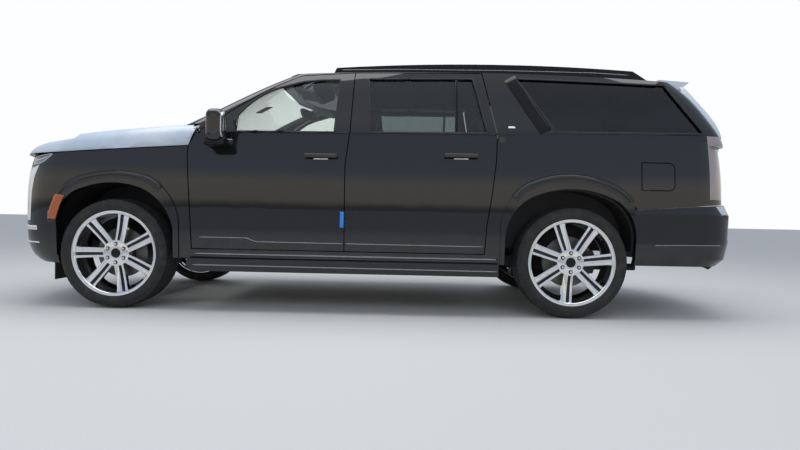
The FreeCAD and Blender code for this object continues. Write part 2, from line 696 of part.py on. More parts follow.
# Roof with its long glass, windscreen and the panel under the windscreen
SUNROOF = ((-1150, 330), (-480, 480))
roof_panel = upper_shell.common(block((GATE_TOP_X, 800), (-ROOF_SIDE, ROOF_SIDE), (1640, 2000)))
roof_panel = roof_panel.cut(screen_area).cut(block(*SUNROOF, (1700, 2000))).fuse(roof_brackets)
roof_panel = max(roof_panel.Solids, key=lambda solid: solid.Volume)
named_feature("roof_panel", roof_panel.cut(block((GATE_TOP_X - 300, GATE_TOP_X), (-GATE_HINGE_Y[1] - 60, GATE_HINGE_Y[1] + 60), (1500, GATE_PIN[1] - 9))))
named_feature("roof_glass", pane_shell.common(block(
    (SUNROOF[0][0] + SEAT, SUNROOF[0][1] - SEAT), (SUNROOF[1][0] + SEAT, SUNROOF[1][1] - SEAT), (1700, 2000))))
named_feature("windscreen", pane_shell.common(end_prism(
    [(y - math.copysign(SEAT, y), z + (SEAT if z == 1372 else -SEAT)) for y, z in SCREEN_AREA], 500, 2400)))
cowl = upper_shell.common(block((1260, 2000), (-ROOF_SIDE, ROOF_SIDE), (BELT - 40, 1372)))
named_feature("cowl_panel", cowl)

rail_bar = side_prism(((330, 1800), (290, 1884), (-832, 1925, -2010, 1888), (-2150, 1800)), 692, 727)
named_feature("roof_rails", both_sides(rail_bar.cut(roof_dome(-SEAT))))

# Fenders, lamps, bumper and grille at the front
NOSE_JOINT = 2345
FENDER_GAP = GAP / 2 + 0.7
fender_room = block((HOOD_REAR + SEAT, NOSE_JOINT), (400, 1200), (330, BELT))
fender_side = flared(fascia_shell.common(fender_room), FRONT_FLARE, fender_room, fascia_inner)
for cut in (
    side_prism(FRONT_ARCH),
    side_prism(STEER_ARCH, 300, LIP_Y),
    side_prism(above([(x, z - GAP / 2) for x, z in HOOD_SHUT]), 300),
    side_prism(front_door_outline(-FENDER_GAP)),
    block((0, 1500), (0, 1300), (0, SILL_FOOT)),
):
    fender_side = fender_side.cut(cut)
fender_side = max(fender_side.Solids, key=lambda solid: solid.Volume)
inner_flange = block((FENDER_REAR + GAP, 1400), (POST_Y + 46 + SEAT, 975), (600, 1100))
fender_side = fender_side.fuse(inner_flange)
named_feature("fender_left", fender_side)
named_feature("fender_right", mirrored(fender_side))

upper_lamp = side_prism(((2375, 1180), (2500, 1086), (2560, 1062), (3000, 1062), (3000, 1200), (2375, 1200)), 560)
tall_lamp = side_prism(((2560, 1062), (2620, 640), (3000, 640), (3000, 1062)), 740)
under_hood_line = side_prism(above([(x, z - GAP / 2) for x, z in HOOD_SHUT]), -1300)
LAMP_LEDGE = 10
lamp_top = side_prism(above([(x, z - GAP / 2 - LAMP_LEDGE) for x, z in HOOD_SHUT]), -1300)
lamp_area = upper_lamp.fuse(tall_lamp).cut(lamp_top)
named_feature("headlamps", both_sides(fascia_shell.common(lamp_area)))
grille_area = block((2500, 3000), (-560, 560), (560, 1120))
nose_shell = fascia_shell.common(block((NOSE_JOINT, 3000), (-1200, 1200), (330, 1200)))
nose_room = block((NOSE_JOINT, 3000), (400, 1200), (330, 1200))
nose_shell = flared(nose_shell, FRONT_FLARE, nose_room, fascia_inner)
nose_shell = flared(nose_shell.mirror(V(0, 0, 0), V(0, 1, 0)), FRONT_FLARE, nose_room, fascia_inner)
nose_shell = nose_shell.cut(both_sides(lamp_area)).cut(grille_area).cut(
    both_sides(side_prism(FRONT_ARCH))).cut(both_sides(side_prism(STEER_ARCH, 300, LIP_Y)))
nose_shell = nose_shell.cut(under_hood_line)
nose_shell = max(nose_shell.Solids, key=lambda solid: solid.Volume)
named_feature("front_bumper", nose_shell.removeSplitter())
bars = [block((2500, 3000), (-560, 560), (z, z + 18)) for z in range(600, 1110, 60)]
frame_bars = [block((2500, 3000), (y, y + 22), (560, 1120)) for y in (-560, -11, 538)]
named_feature("grille", lower_form(8).cut(lower_form(44)).common(bars[0].fuse(bars[1:] + frame_bars)))

# Rear bumper and tail lamps
BUMPER_LEVELS = (
    (400, FRONT, HALF - 36, REAR + 70),
    (450, FRONT, HALF - 12, REAR + 22),
    (560, FRONT, HALF - 2, REAR + 4),
    (780, FRONT, HALF + 2, REAR),
    (900, FRONT, HALF - 34, REAR + 44),
)
BUMPER_JOINT = 3
SHELF = 30


def bumper_form(depth=0):
    return lofted(BUMPER_LEVELS, BODY_NOSE, BUMPER_TAIL, depth, ruled=True)


def bumper_room(drop):
    """Everything rearwards of the wheel arches and under the bumper's top line."""
    outline = [(x - SEAT if x > -2900 else x, z - drop if z else 0) for x, z in BUMPER_LINE]
    return side_prism(outline, -1300)


bumper_outer = bumper_form()
bumper_inner = bumper_form(size("fascia_wall"))
rear_bumper = bumper_outer.cut(bumper_inner).common(bumper_room(BUMPER_JOINT))
shelf = bumper_outer.common(bumper_room(BUMPER_JOINT)).cut(bumper_room(BUMPER_JOINT + SHELF))
shelf = shelf.common(block((-3000, -2560), (-1100, 1100), (700, 900)))
rear_bumper = rear_bumper.cut(both_sides(side_prism(REAR_ARCH))).fuse(shelf)
rear_bumper = max(rear_bumper.Solids, key=lambda solid: solid.Volume)
named_feature("rear_bumper", rear_bumper.removeSplitter())
taillamp = full_shell.common(block((-3000, TAIL_LAMP_X), (GATE_EDGE[2][0] + GAP, 1200), (895, 1368)))
named_feature("taillamps", both_sides(taillamp))

# Wheel arch liners
LINER = 8


def liner(axle, rows, wall_y, foot):
    """Shell inside a wheel opening, with a wall on its inner side."""
    outer = side_prism(inset(arch_outline(axle, rows, foot), SEAT), wall_y, LIP_Y - SEAT)
    inner = side_prism(inset(arch_outline(axle, rows, foot - 2 * LINER), SEAT + LINER), wall_y + LINER, 1000)
    return outer.cut(inner)


front_liner = liner(AXLE_F, STEER_ROWS, 472, 500).cut(block((AXLE_F - 200, AXLE_F + 200), (400, 500), (560, 720)))
flap_x = AXLE_F + STEER_ROWS[0][0] - SEAT
flap = block((flap_x - LINER, flap_x), (740, 930), (200, 520))
front_liner = front_liner.fuse(flap)
rear_liner = liner(AXLE_R, REAR_ROWS, 690, 500)
named_feature("arch_liners", Part.makeCompound(
    [front_liner, mirrored(front_liner), rear_liner, mirrored(rear_liner)]))


# Frame, floor and furniture from plain primitives whose sizes follow the sheet
def bound(type_name, label, **expressions):
    """Primitive whose properties follow expressions on the sheet."""
    item = doc.addObject(type_name, label)
    for prop, text in expressions.items():
        item.setExpression(prop.replace("__", "."), text)
    return item


def bound_box(label, x, y, z, length, width, height):
    """Box from its low corner and three sizes, all expressions."""
    return bound(
        "Part::Box", label, Length=length, Width=width, Height=height,
        Placement__Base__x=x, Placement__Base__y=y, Placement__Base__z=z,
    )


def bound_post(label, x, sign, z, height, radius):
    """Upright cylinder on one of the frame rails."""
    return bound(
        "Part::Cylinder", label, Radius=radius, Height=str(height),
        Placement__Base__x=str(x), Placement__Base__y=sign + "Sizes.rail_y", Placement__Base__z=str(z),
    )


def fused(label, items):
    union = doc.addObject("Part::MultiFuse", label)
    union.Label = label
    union.Shapes = items
    return union


# Underside of a frame rail from front to rear as (x, z): it rises over the rear axle
RAIL_LINE = ((2540, 350), (1150, 330), (-850, 330), (-1120, 478), (-1880, 478), (-2120, 430), (-2630, 430))
rail_height = size("rail_height")
rail_breadth = size("rail_breadth")
RAIL_OUT = size("rail_y") + rail_breadth / 2
rail_outline = RAIL_LINE + tuple((x, z + rail_height) for x, z in reversed(RAIL_LINE))
rail_left = side_prism(rail_outline, size("rail_y") - rail_breadth / 2, size("rail_y") + rail_breadth / 2)


def rail_underside(x):
    """Height of the rail's underside at a station."""
    for (x1, z1), (x2, z2) in zip(RAIL_LINE, RAIL_LINE[1:]):
        if x2 <= x <= x1:
            return z1 + (z2 - z1) * (x1 - x) / (x1 - x2)
    return RAIL_LINE[-1][1]


# Cross members: name and station
CROSS_MEMBERS = (
    ("rear_cross", -2560), ("spring_cross", -1880), ("arm_cross", -1150), ("step_cross", -780), ("cabin_cross", 120),
    ("gearbox_cross", 1050), ("engine_cross", 1900), ("nose_cross", 2460),
)
FLOOR = size("floor_z")
FLOOR_TOP = FLOOR + size("floor_thickness")
REAR_FLOOR = 640
STEP_X = -850
# Rubber mounts: name, station and what they carry
MOUNTS = (("dash_mount", 1000, FLOOR), ("cabin_mount", 120, FLOOR), ("seat_mount", -700, FLOOR),
          ("axle_mount", -1500, REAR_FLOOR), ("load_mount", -2350, REAR_FLOOR))
JACK_PADS = (("front_jack_pad", 950), ("rear_jack_pad", -700))
ENGINE_FOOT = size("rail_z") + 135
RAIL_BURIED = 5
frame_pieces = [named_feature("left_rail", rail_left), named_feature("right_rail", mirrored(rail_left))]
for name, x in CROSS_MEMBERS:
    edges = [rail_underside(x - 40), rail_underside(x + 40)]
    frame_pieces.append(bound_box(
        name, f"{x} - Sizes.cross_breadth / 2", "-Sizes.rail_y", str(max(edges) + 20),
        "Sizes.cross_breadth", "2 * Sizes.rail_y", str(min(edges) - max(edges) + 70)))
for name, x, top in MOUNTS:
    foot = rail_underside(x) + rail_height - RAIL_BURIED
    for sign, suffix in (("", "left"), ("-", "right")):
        frame_pieces.append(bound_post(f"{name}_{suffix}", x, sign, foot, top - foot, "Sizes.mount_radius"))
for name, x in JACK_PADS:
    for sign, suffix in (("", "left"), ("-", "right")):
        frame_pieces.append(bound_post(f"{name}_{suffix}", x, sign, 318, 22, "Sizes.jack_radius"))
frame_pieces.append(bound_box("engine_pad", "1860", "-260", "430", "80", "520", f"{ENGINE_FOOT - SEAT - 430}"))
fused("chassis_frame", frame_pieces)

floor = block((STEP_X, WALL_X[1]), (-800, 800), (FLOOR, FLOOR_TOP))
step = block((STEP_X - 30, STEP_X), (-800, 800), (FLOOR, REAR_FLOOR + 40))
rear_floor = block((-2600, STEP_X), (-850 + SEAT, 850 - SEAT), (REAR_FLOOR, REAR_FLOOR + 40))
wall = block(WALL_X, (-800, 800), (FLOOR, 1290))
floor = floor.fuse([step, rear_floor, wall])
floor = floor.cut(both_sides(side_prism(arch_outline(AXLE_R, REAR_ROWS, 400), 689.5, 1300)))
floor = floor.common(lower_form(size("fascia_wall") + 1).fuse(block((-2500, 1300), (-690, 690), (300, 1300))))
named_feature("floor_pan", floor.removeSplitter())

dash_top = side_prism(((1254.7, 1040), (930, 1010), (915, 1110), (960, 1190), (1254.7, 1230)), -795, 795)
console = side_prism(((-60, FLOOR_TOP), (-60, 850), (640, 880), (880, 1000), (1040, 1060), (1040, FLOOR_TOP)),
                     -125, 125)
named_feature("dashboard", dash_top.fuse(console).removeSplitter())


def seat(x, y, width, floor_level):
    """Cushion on a base, a leaning back and a head rest on two rods."""
    base = block((x, x + 400), (y - width / 2 + 40, y + width / 2 - 40), (floor_level, 640))
    cushion = block((x - 60, x + 460), (y - width / 2, y + width / 2), (640, 820))
    cushion = cushion.makeFillet(40, [edge for edge in cushion.Edges if edge.BoundBox.ZMin > 700])
    back = side_prism(((x, 760), (x - 240, 1380), (x - 110, 1400), (x + 130, 800)), y - width / 2, y + width / 2)
    head = block((x - 275, x - 155), (y - 125, y + 125), (1430, 1580))
    head = head.makeFillet(30, head.Edges)
    rods = [Part.makeCylinder(7, 90, V(x - 200, y + dy, 1370)) for dy in (-55, 55)]
    return base.fuse([cushion, back, head] + rods)


named_feature("front_seats", Part.makeCompound([seat(250, y, 520, FLOOR_TOP) for y in (-400, 400)]))
named_feature("second_row_seats", Part.makeCompound([seat(-720, y, 520, FLOOR_TOP) for y in (-400, 400)]))
third = block((-1760, -1400), (-560, 560), (REAR_FLOOR + 40, 760)).fuse([
    block((-1800, -1340), (-600, 600), (760, 880)),
    side_prism(((-1780, 820), (-1960, 1340), (-1860, 1360), (-1650, 880)), -600, 600)])
named_feature("third_row_seat", third)

steering = Part.makeTorus(185, 16).fuse([
    Part.makeCylinder(55, 40, V(0, 0, -20)),
    block((-180, 180), (-18, 18), (-8, 8)),
    Part.makeCylinder(28, 175)])
steering.Placement = FreeCAD.Placement(V(770, 400, 1085), FreeCAD.Rotation(V(0, 1, 0), 72))
steering_wheel = named_feature("steering_wheel", steering.cut(dash_top))

engine = bound_box("engine_block", "1640", "-290", "Sizes.rail_z + 135", "700", "580", "560")

radiator = bound_box("radiator", "2470", "-470", "480", "50", "940", "560")
tank = block((-620, 0), (RAIL_OUT + 14, 765), (345, FLOOR - SEAT))
named_feature("fuel_tank", tank.makeFillet(28, [edge for edge in tank.Edges if edge.BoundBox.ZMax < 400]))

# Running boards on brackets from the frame
board = side_prism(((-960, 300), (1300, 300), (1340, 335), (1330, SILL_FOOT - 0.3), (-960, SILL_FOOT - 0.3)),
                   900, HALF + 15)
brackets = [block((x - 30, x + 30), (RAIL_OUT, 905), (345, 375)) for x in (900, 60, -720)]
board = board.fuse(brackets)
named_feature("running_boards", both_sides(board))

# Axles, arms and exhaust
WHEEL_Z = size("tyre_radius")
KINGPIN = size("kingpin_y")
SPINDLE = size("spindle_radius")
# Brake calipers of all four wheels
def caliper(axle):
    """Brake caliper behind the axle with the slot for its disc."""
    y = KINGPIN
    reach = size("disc_radius")
    ring = rod(axle, (y - 20, y + 82), WHEEL_Z, reach + 15).cut(rod(axle, (y - 30, y + 90), WHEEL_Z, reach - 72))
    body = ring.common(block((axle - 225, axle - 60), (y - 30, y + 90), (WHEEL_Z - 85, WHEEL_Z + 85)))
    return body.fuse(block((axle - 140, axle - 20), (y - 20, y + 20), (WHEEL_Z - 40, WHEEL_Z + 40)))


def disc_slot(axle):
    """Room for a turning brake disc round its shaft."""
    low = KINGPIN + 32
    slot = rod(axle, (low, low + size("disc_thickness") + 6), WHEEL_Z, size("disc_radius") + 5)
    return slot.cut(rod(axle, (0, 1200), WHEEL_Z, SPINDLE))


half_shaft = rod(AXLE_R, (0, 900), WHEEL_Z, SPINDLE)
hub_carrier = rod(AXLE_R, (690, 800), WHEEL_Z, 75)
rear_arm = side_prism(
    ((AXLE_R - 60, 300), (AXLE_R + 640, 365), (AXLE_R + 640, 425), (AXLE_R + 60, 440), (AXLE_R - 60, 440)),
    RAIL_OUT + SEAT, RAIL_OUT + 90)
rear_arm = rear_arm.fuse(block((AXLE_R - 60, AXLE_R + 60), (RAIL_OUT + 1, 760), (300, 350)))
diff = Part.makeSphere(130, V(AXLE_R, 0, WHEEL_Z))
strut = Part.makeCylinder(30, 300, V(AXLE_R - 20, 640, 340))
rear_left = half_shaft.fuse([hub_carrier, rear_arm, strut, caliper(AXLE_R)]).cut(disc_slot(AXLE_R))
SHAFT_FRONT = V(1640 - SEAT, 0, 471)
shaft_rear = V(AXLE_R + 90, 0, 452)
shaft_line = SHAFT_FRONT - shaft_rear
propeller_shaft = Part.makeCylinder(26, shaft_line.Length, shaft_rear, shaft_line)
rear_suspension = rear_left.fuse([mirrored(rear_left), diff, propeller_shaft])
named_feature("rear_suspension", rear_suspension)

lower_arm = Part.makeLoft([
    Part.makePolygon([V(AXLE_F - w, y, z0), V(AXLE_F + w, y, z0), V(AXLE_F + w, y, z0 + 26), V(AXLE_F - w, y, z0 + 26), V(AXLE_F - w, y, z0)])
    for y, w, z0 in ((370, 200, 308), (560, 120, 268), (KINGPIN, 34, 250))], True, True)
lower_mount = block((AXLE_F - 190, AXLE_F + 190), (380, 440), (330, rail_underside(AXLE_F - 190) - SEAT))
lower_ball = post(AXLE_F, KINGPIN, (270, 316), 14)
upper_arm = Part.makeLoft([
    Part.makePolygon([V(AXLE_F - w, y, z0), V(AXLE_F + w, y, z0), V(AXLE_F + w, y, z0 + 22), V(AXLE_F - w, y, z0 + 22), V(AXLE_F - w, y, z0)])
    for y, w, z0 in ((RAIL_OUT + 0.3, 120, 600), (KINGPIN - 60, 40, 612), (KINGPIN, 26, 612))], True, True)
upper_ball = post(AXLE_F, KINGPIN, (570, 620), 12)
tower = block((AXLE_F - 130, AXLE_F + 130), (RAIL_OUT - 60, RAIL_OUT + 0.3),
              (rail_underside(AXLE_F + 130) + rail_height + SEAT, 640))
front_left = lower_arm.fuse([lower_mount, lower_ball, upper_arm, upper_ball, tower])
front_susp = front_left.fuse([mirrored(front_left), block((AXLE_F - 190, AXLE_F - 130), (-380, 380), (312, 332))])
named_feature("front_suspension", front_susp)

# Exhaust pipe, silencer and hangers
PIPE_Y = -250
PIPE_Z = 290
exhaust_pieces = [
    bound("Part::Cylinder", "exhaust_pipe", Radius="Sizes.pipe_radius", Height="3190",
          Placement__Base__x="-2440", Placement__Base__y=str(PIPE_Y), Placement__Base__z=str(PIPE_Z)),
    bound("Part::Cylinder", "silencer", Radius="Sizes.silencer_radius", Height="600",
          Placement__Base__x="-1860", Placement__Base__y=str(PIPE_Y), Placement__Base__z=str(PIPE_Z - 10)),
]
for item in exhaust_pieces:
    item.Placement.Rotation = FreeCAD.Rotation(V(0, 1, 0), 90)
for name, x in (("front_hanger", 120), ("rear_hanger", -780)):
    exhaust_pieces.append(bound_box(
        name, str(x - 15), str(PIPE_Y - 12), str(PIPE_Z + 10), "30", "24",
        str(rail_underside(x) + 20 - SEAT - PIPE_Z - 10)))
fused("exhaust", exhaust_pieces)


# Knuckles that carry the front wheels
def knuckle():
    """Upright with bores for the ball joints, spindle and caliper, for the left side."""
    y = KINGPIN
    upright = block((AXLE_F - 40, AXLE_F + 40), (y - 30, y + 25), (285, 600))
    upright = upright.makeFillet(12, [edge for edge in upright.Edges if edge.BoundBox.ZLength > 100])
    spindle = rod(AXLE_F, (y, y + 100), WHEEL_Z, SPINDLE)
    whole = upright.fuse([rod(AXLE_F, (y - 28, y + 27), WHEEL_Z, 62), spindle, caliper(AXLE_F)])
    whole = whole.cut(disc_slot(AXLE_F))
    return whole.cut([post(AXLE_F, y, (200, 316 + SEAT), 14 + FIT), post(AXLE_F, y, (570 - SEAT, 700), 12 + FIT)])


knuckle_left = knuckle()
named_feature("knuckle_left", knuckle_left)
named_feature("knuckle_right", mirrored(knuckle_left))


# Wheels: bodies with the outer face towards +Y, centred on the tyre
def origin_part(body, role):
    """A plane or axis of a body's own origin."""
    return next(item for item in body.Origin.OriginFeatures if item.Role == role)


def sketch_on(body, label, plane, loops, offset=0):
    """Sketch of closed outlines on one of a body's origin planes."""
    sketch = body.newObject("Sketcher::SketchObject", label)
    sketch.AttachmentSupport = [(origin_part(body, plane), "")]
    sketch.MapMode = "FlatFace"
    sketch.AttachmentOffset = FreeCAD.Placement(V(0, 0, offset), FreeCAD.Rotation())
    for loop in loops:
        first = sketch.GeometryCount
        following = list(loop[1:]) + [loop[0]]
        sketch.addGeometry([Part.LineSegment(V(*a, 0), V(*b, 0)) for a, b in zip(loop, following)], False)
        for index in range(len(loop)):
            sketch.addConstraint(Sketcher.Constraint(
                "Coincident", first + index, 2, first + (index + 1) % len(loop), 1))
    return sketch


def turned_about_axle(body, kind, label, loops):
    """Revolution or groove of profiles given as (radius, distance out)."""
    profile = sketch_on(body, label + "_profile", "XY_Plane", loops)
    turned = body.newObject("PartDesign::" + kind, label)
    turned.Profile = profile
    turned.ReferenceAxis = (profile, ["V_Axis"])
    turned.Angle = 360
    return turned


def padded(body, label, loops, front, depth):
    """Pad towards the vehicle from a plane at a distance out; depth is an expression."""
    profile = sketch_on(body, label + "_profile", "XZ_Plane", loops, -front)
    pad = body.newObject("PartDesign::Pad", label)
    pad.Profile = profile
    pad.setExpression("Length", depth)
    return pad


def ring_of(body, label, originals, count):
    """Polar pattern about the axle; count is an expression."""
    pattern = body.newObject("PartDesign::PolarPattern", label)
    pattern.Originals = originals
    pattern.Axis = (origin_part(body, "Y_Axis"), [""])
    pattern.Angle = 360
    pattern.setExpression("Occurrences", count)
    body.Tip = pattern
    return pattern


def about_axle(points, degrees):
    """Outline points turned about the axle."""
    c, s = math.cos(math.radians(degrees)), math.sin(math.radians(degrees))
    return [(x * c - z * s, x * s + z * c) for x, z in points]


# The two spokes of a pair along the radius: a broad one, a slim one and the floor between them
BROAD_SPOKE = ((68, 4), (269, 4), (297, 2), (296, 57), (269, 43), (68, 37))
SLIM_SPOKE = ((68, -32), (269, -38), (296, -47), (297, -18), (269, -20), (68, -15))
SLOT_FLOOR = ((60, -20), (290, -24), (290, 8), (60, 8))
FACE_LINE = ((62, 92), (155, 92), (230, 101), (301, 117))
BACK_LINE = ((62, 46), (155, 47), (230, 56), (263, 70))


def rim_body(label, spoke_angle):
    """Hub, pairs of spokes, wheel nuts, barrel and brake disc of one wheel."""
    half = size("rim_width") / 2
    wall = size("rim_wall")
    edge = size("rim_radius")
    bead = size("bead_seat")
    hub = size("hub_radius")
    cap = size("cap_radius")
    body = doc.addObject("PartDesign::Body", label)
    turned_about_axle(body, "Revolution", "hub", [(
        (0, 95), (cap, 93), (cap, 90), (hub - 4, 92), (hub + 8, 87), (hub + 6, 46), (0, 46))])
    front = FACE_LINE[-1][1] + 14
    pads = [padded(body, name, [about_axle(loop, spoke_angle)], out, depth) for name, loop, out, depth in (
        ("broad_spoke", BROAD_SPOKE, front, "Sizes.spoke_depth"),
        ("slim_spoke", SLIM_SPOKE, front, "Sizes.spoke_depth"),
        ("slot_floor", SLOT_FLOOR, 72, "Sizes.web_depth"))]
    ring_of(body, "spoke_ring", pads, "Sizes.spoke_count")
    turned_about_axle(body, "Groove", "spoke_faces", [
        FACE_LINE + ((301, front + 2), (62, front + 2)), BACK_LINE + ((263, 20), (62, 20))])
    turned_about_axle(body, "Revolution", "barrel", [(
        (edge, half), (edge, half - wall), (bead, half - 16), (bead - 2, half - 60),
        (bead - 30, half - 90), (bead - 30, 90 - half), (bead - 2, 60 - half), (bead, 16 - half),
        (edge, wall - half), (edge, -half), (bead - 12, -half), (bead - 14, 54 - half),
        (bead - 40, 84 - half), (bead - 40, half - 84), (bead - 14, half - 50), (edge - 14, half))])
    circle = size("bolt_circle")
    corners = [math.radians(60 * index + 30) for index in range(6)]
    shapes = [[(reach * math.cos(a), circle + reach * math.sin(a)) for a in corners]
              for reach in (size("nut_pocket"), size("nut_radius"))]
    recess = sketch_on(body, "nut_recess_profile", "XZ_Plane", [shapes[0]], -96)
    pocket = body.newObject("PartDesign::Pocket", "nut_recess")
    pocket.Profile = recess
    pocket.Length = 18
    ring_of(body, "nut_recesses", [pocket], "Sizes.nut_count")
    nut = padded(body, "nut", [shapes[1]], 98, "Sizes.web_depth")
    ring_of(body, "nuts", [nut], "Sizes.nut_count")
    disc_low = KINGPIN - size("half_track") + 35
    disc_high = disc_low + size("disc_thickness")
    bore = SPINDLE + FIT
    turned_about_axle(body, "Revolution", "brake_disc", [(
        (bore, disc_low), (size("disc_radius"), disc_low), (size("disc_radius"), disc_high),
        (106, disc_high), (92, 46), (92, 47), (bore, 47))])
    turned_about_axle(body, "Groove", "bore", [((0, disc_low - 9), (bore, disc_low - 9), (bore, 46), (0, 46))])
    return body


def tyre_body(label):
    """Casing seated on the rim's beads, hollow inside."""
    radius = size("tyre_radius")
    half = size("tyre_width") / 2
    bead = size("bead_seat") + SEAT
    edge = size("rim_radius")
    rim_half = size("rim_width") / 2
    wall = size("rim_wall")
    body = doc.addObject("PartDesign::Body", label)
    right = (
        (radius, 0), (radius - 2, half - 40), (radius - 16, half - 18), (radius - 48, half - 1),
        (edge + 20, half - 6), (edge + 2, rim_half - wall - 1), (bead, rim_half - 17),
        (bead, rim_half - 46), (bead + 14, rim_half - 40), (radius - 30, half - 36), (radius - 17, 0),
    )
    left = tuple((r, -y) for r, y in reversed(right) if y)
    turned_about_axle(body, "Revolution", "casing", [right + left])
    return body


# All four wheels are one design; the rear ones have rolled on by a part of a turn
SPOKE_ANGLE = 102.5
REAR_TURN = -237.7
master = {"rim": rim_body("rim_front_left", SPOKE_ANGLE), "tyre": tyre_body("tyre_front_left")}
doc.recompute()
for place, x, rolled in (("front", AXLE_F, 0), ("rear", AXLE_R, REAR_TURN)):
    for side, suffix in ((LEFT, "left"), (RIGHT, "right")):
        turn = FreeCAD.Rotation(V(0, 0, 1), 0 if side == LEFT else 180)
        turn = turn.multiply(FreeCAD.Rotation(V(0, 1, 0), rolled))
        spot = FreeCAD.Placement(V(x, side * size("half_track"), WHEEL_Z), turn)
        for kind, design in master.items():
            first = place == "front" and side == LEFT
            item = design if first else named_feature(f"{kind}_{place}_{suffix}", design.Shape)
            item.Placement = spot

NODES = (
    "chassis_frame", "floor_pan", "body_side_left", "body_side_right", "roof_panel", "roof_glass",
    "cowl_panel", "fender_left", "fender_right", "front_bumper", "grille", "headlamps", "rear_bumper",
    "taillamps", "windscreen", "quarter_glass", "roof_rails", "running_boards", "arch_liners",
    "dashboard", "steering_wheel", "front_seats", "second_row_seats", "third_row_seat", "engine_block",
    "radiator", "fuel_tank", "front_suspension", "rear_suspension", "exhaust", "hood", "front_door_left", "front_door_right",
    "front_door_glass_left", "front_door_glass_right", "rear_door_left", "rear_door_right",
    "rear_door_glass_left", "rear_door_glass_right", "tailgate", "tailgate_glass", "fuel_door",
    "knuckle_left", "knuckle_right", "rim_front_left", "rim_front_right", "rim_rear_left",
    "rim_rear_right", "tyre_front_left", "tyre_front_right", "tyre_rear_left", "tyre_rear_right",
)

doc.recompute()
for item in doc.Objects:
    if "Invalid" in item.State or "Error" in item.State:
        raise RuntimeError(f"{item.Name} failed: {item.State}")
os.makedirs("parts", exist_ok=True)
for node in NODES:
    shape = doc.getObject(node).Shape
    if shape.isNull() or not shape.isValid():
        raise RuntimeError(f"{node} has no valid shape")
    shape.exportStep(f"parts/{node}.step")
    print(node, len(shape.Solids), round(shape.Volume / 1e6, 1))
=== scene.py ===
"""A long black family SUV: finishes for its built parts and the fine pieces that ride on them."""
import math

import bmesh
import bpy
import numpy as np
from mathutils import Matrix, Vector


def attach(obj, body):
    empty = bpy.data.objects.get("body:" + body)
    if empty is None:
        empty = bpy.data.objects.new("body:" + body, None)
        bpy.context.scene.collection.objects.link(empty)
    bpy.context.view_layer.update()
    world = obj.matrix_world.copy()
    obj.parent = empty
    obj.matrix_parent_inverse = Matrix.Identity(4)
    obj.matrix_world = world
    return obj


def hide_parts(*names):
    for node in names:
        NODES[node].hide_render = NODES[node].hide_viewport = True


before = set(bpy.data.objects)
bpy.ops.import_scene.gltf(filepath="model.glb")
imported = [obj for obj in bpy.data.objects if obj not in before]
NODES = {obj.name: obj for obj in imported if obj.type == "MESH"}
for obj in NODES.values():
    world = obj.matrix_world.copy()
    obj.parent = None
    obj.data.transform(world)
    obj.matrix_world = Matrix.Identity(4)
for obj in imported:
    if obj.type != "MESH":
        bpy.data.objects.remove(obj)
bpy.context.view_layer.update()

AXLE_FRONT, AXLE_REAR, TRACK, AXLE_HEIGHT = 1.903, -1.503, 0.870, 0.412
SIDES = (("left", 1), ("right", -1))
TURN = 2 * math.pi
MERGE = 1e-6      # points closer than this are one point
TINY = 1e-9       # keeps a division away from zero


# Shader arithmetic

class Value:
    """A socket that Python arithmetic turns into Math nodes."""

    def __init__(self, net, socket):
        self.net, self.socket = net, socket

    def math(self, operation, *others):
        return self.net.node("ShaderNodeMath", {"operation": operation}, (self,) + others)

    def __add__(self, other):
        return self.math("ADD", other)

    def __rsub__(self, other):
        return self.net.node("ShaderNodeMath", {"operation": "SUBTRACT"}, (other, self))

    def __mul__(self, other):
        return self.math("MULTIPLY", other)

    def __pow__(self, other):
        return self.math("POWER", other)

    __radd__, __rmul__ = __add__, __mul__

    def step(self, low, high):
        """0 below low, 1 above high, smooth between."""
        return self.net.node("ShaderNodeMapRange", {"interpolation_type": "SMOOTHSTEP"},
                             {"Value": self, "From Min": low, "From Max": high})


class Net:
    """A shader network: each call adds a node and gives back its output."""

    def __init__(self, tree):
        self.tree = tree

    def fill(self, socket, value):
        """Link a value to a socket or write a constant there, a colour as an opaque one."""
        if isinstance(value, Value):
            self.tree.links.new(value.socket, socket)
        else:
            socket.default_value = (*value, 1) if socket.type == "RGBA" else value

    def node(self, kind, settings=None, inputs=(), output=0):
        """A node with its settings made first, then its sockets filled."""
        made = self.tree.nodes.new(kind)
        for key, value in (settings or {}).items():
            if key == "stops":
                ramp = made.color_ramp
                while len(ramp.elements) < len(value):
                    ramp.elements.new(0.5)
                for element, (place, colour) in zip(ramp.elements, value):
                    element.position = place
                    element.color = (*colour, 1)
            else:
                setattr(made, key, value)
        for key, value in inputs.items() if isinstance(inputs, dict) else enumerate(inputs):
            self.fill(made.inputs[key], value)
        return Value(self, made.outputs[output])

    def mix(self, share, first, second):
        return self.node("ShaderNodeMix", {"data_type": "RGBA"}, {0: share, 6: first, 7: second}, 2)


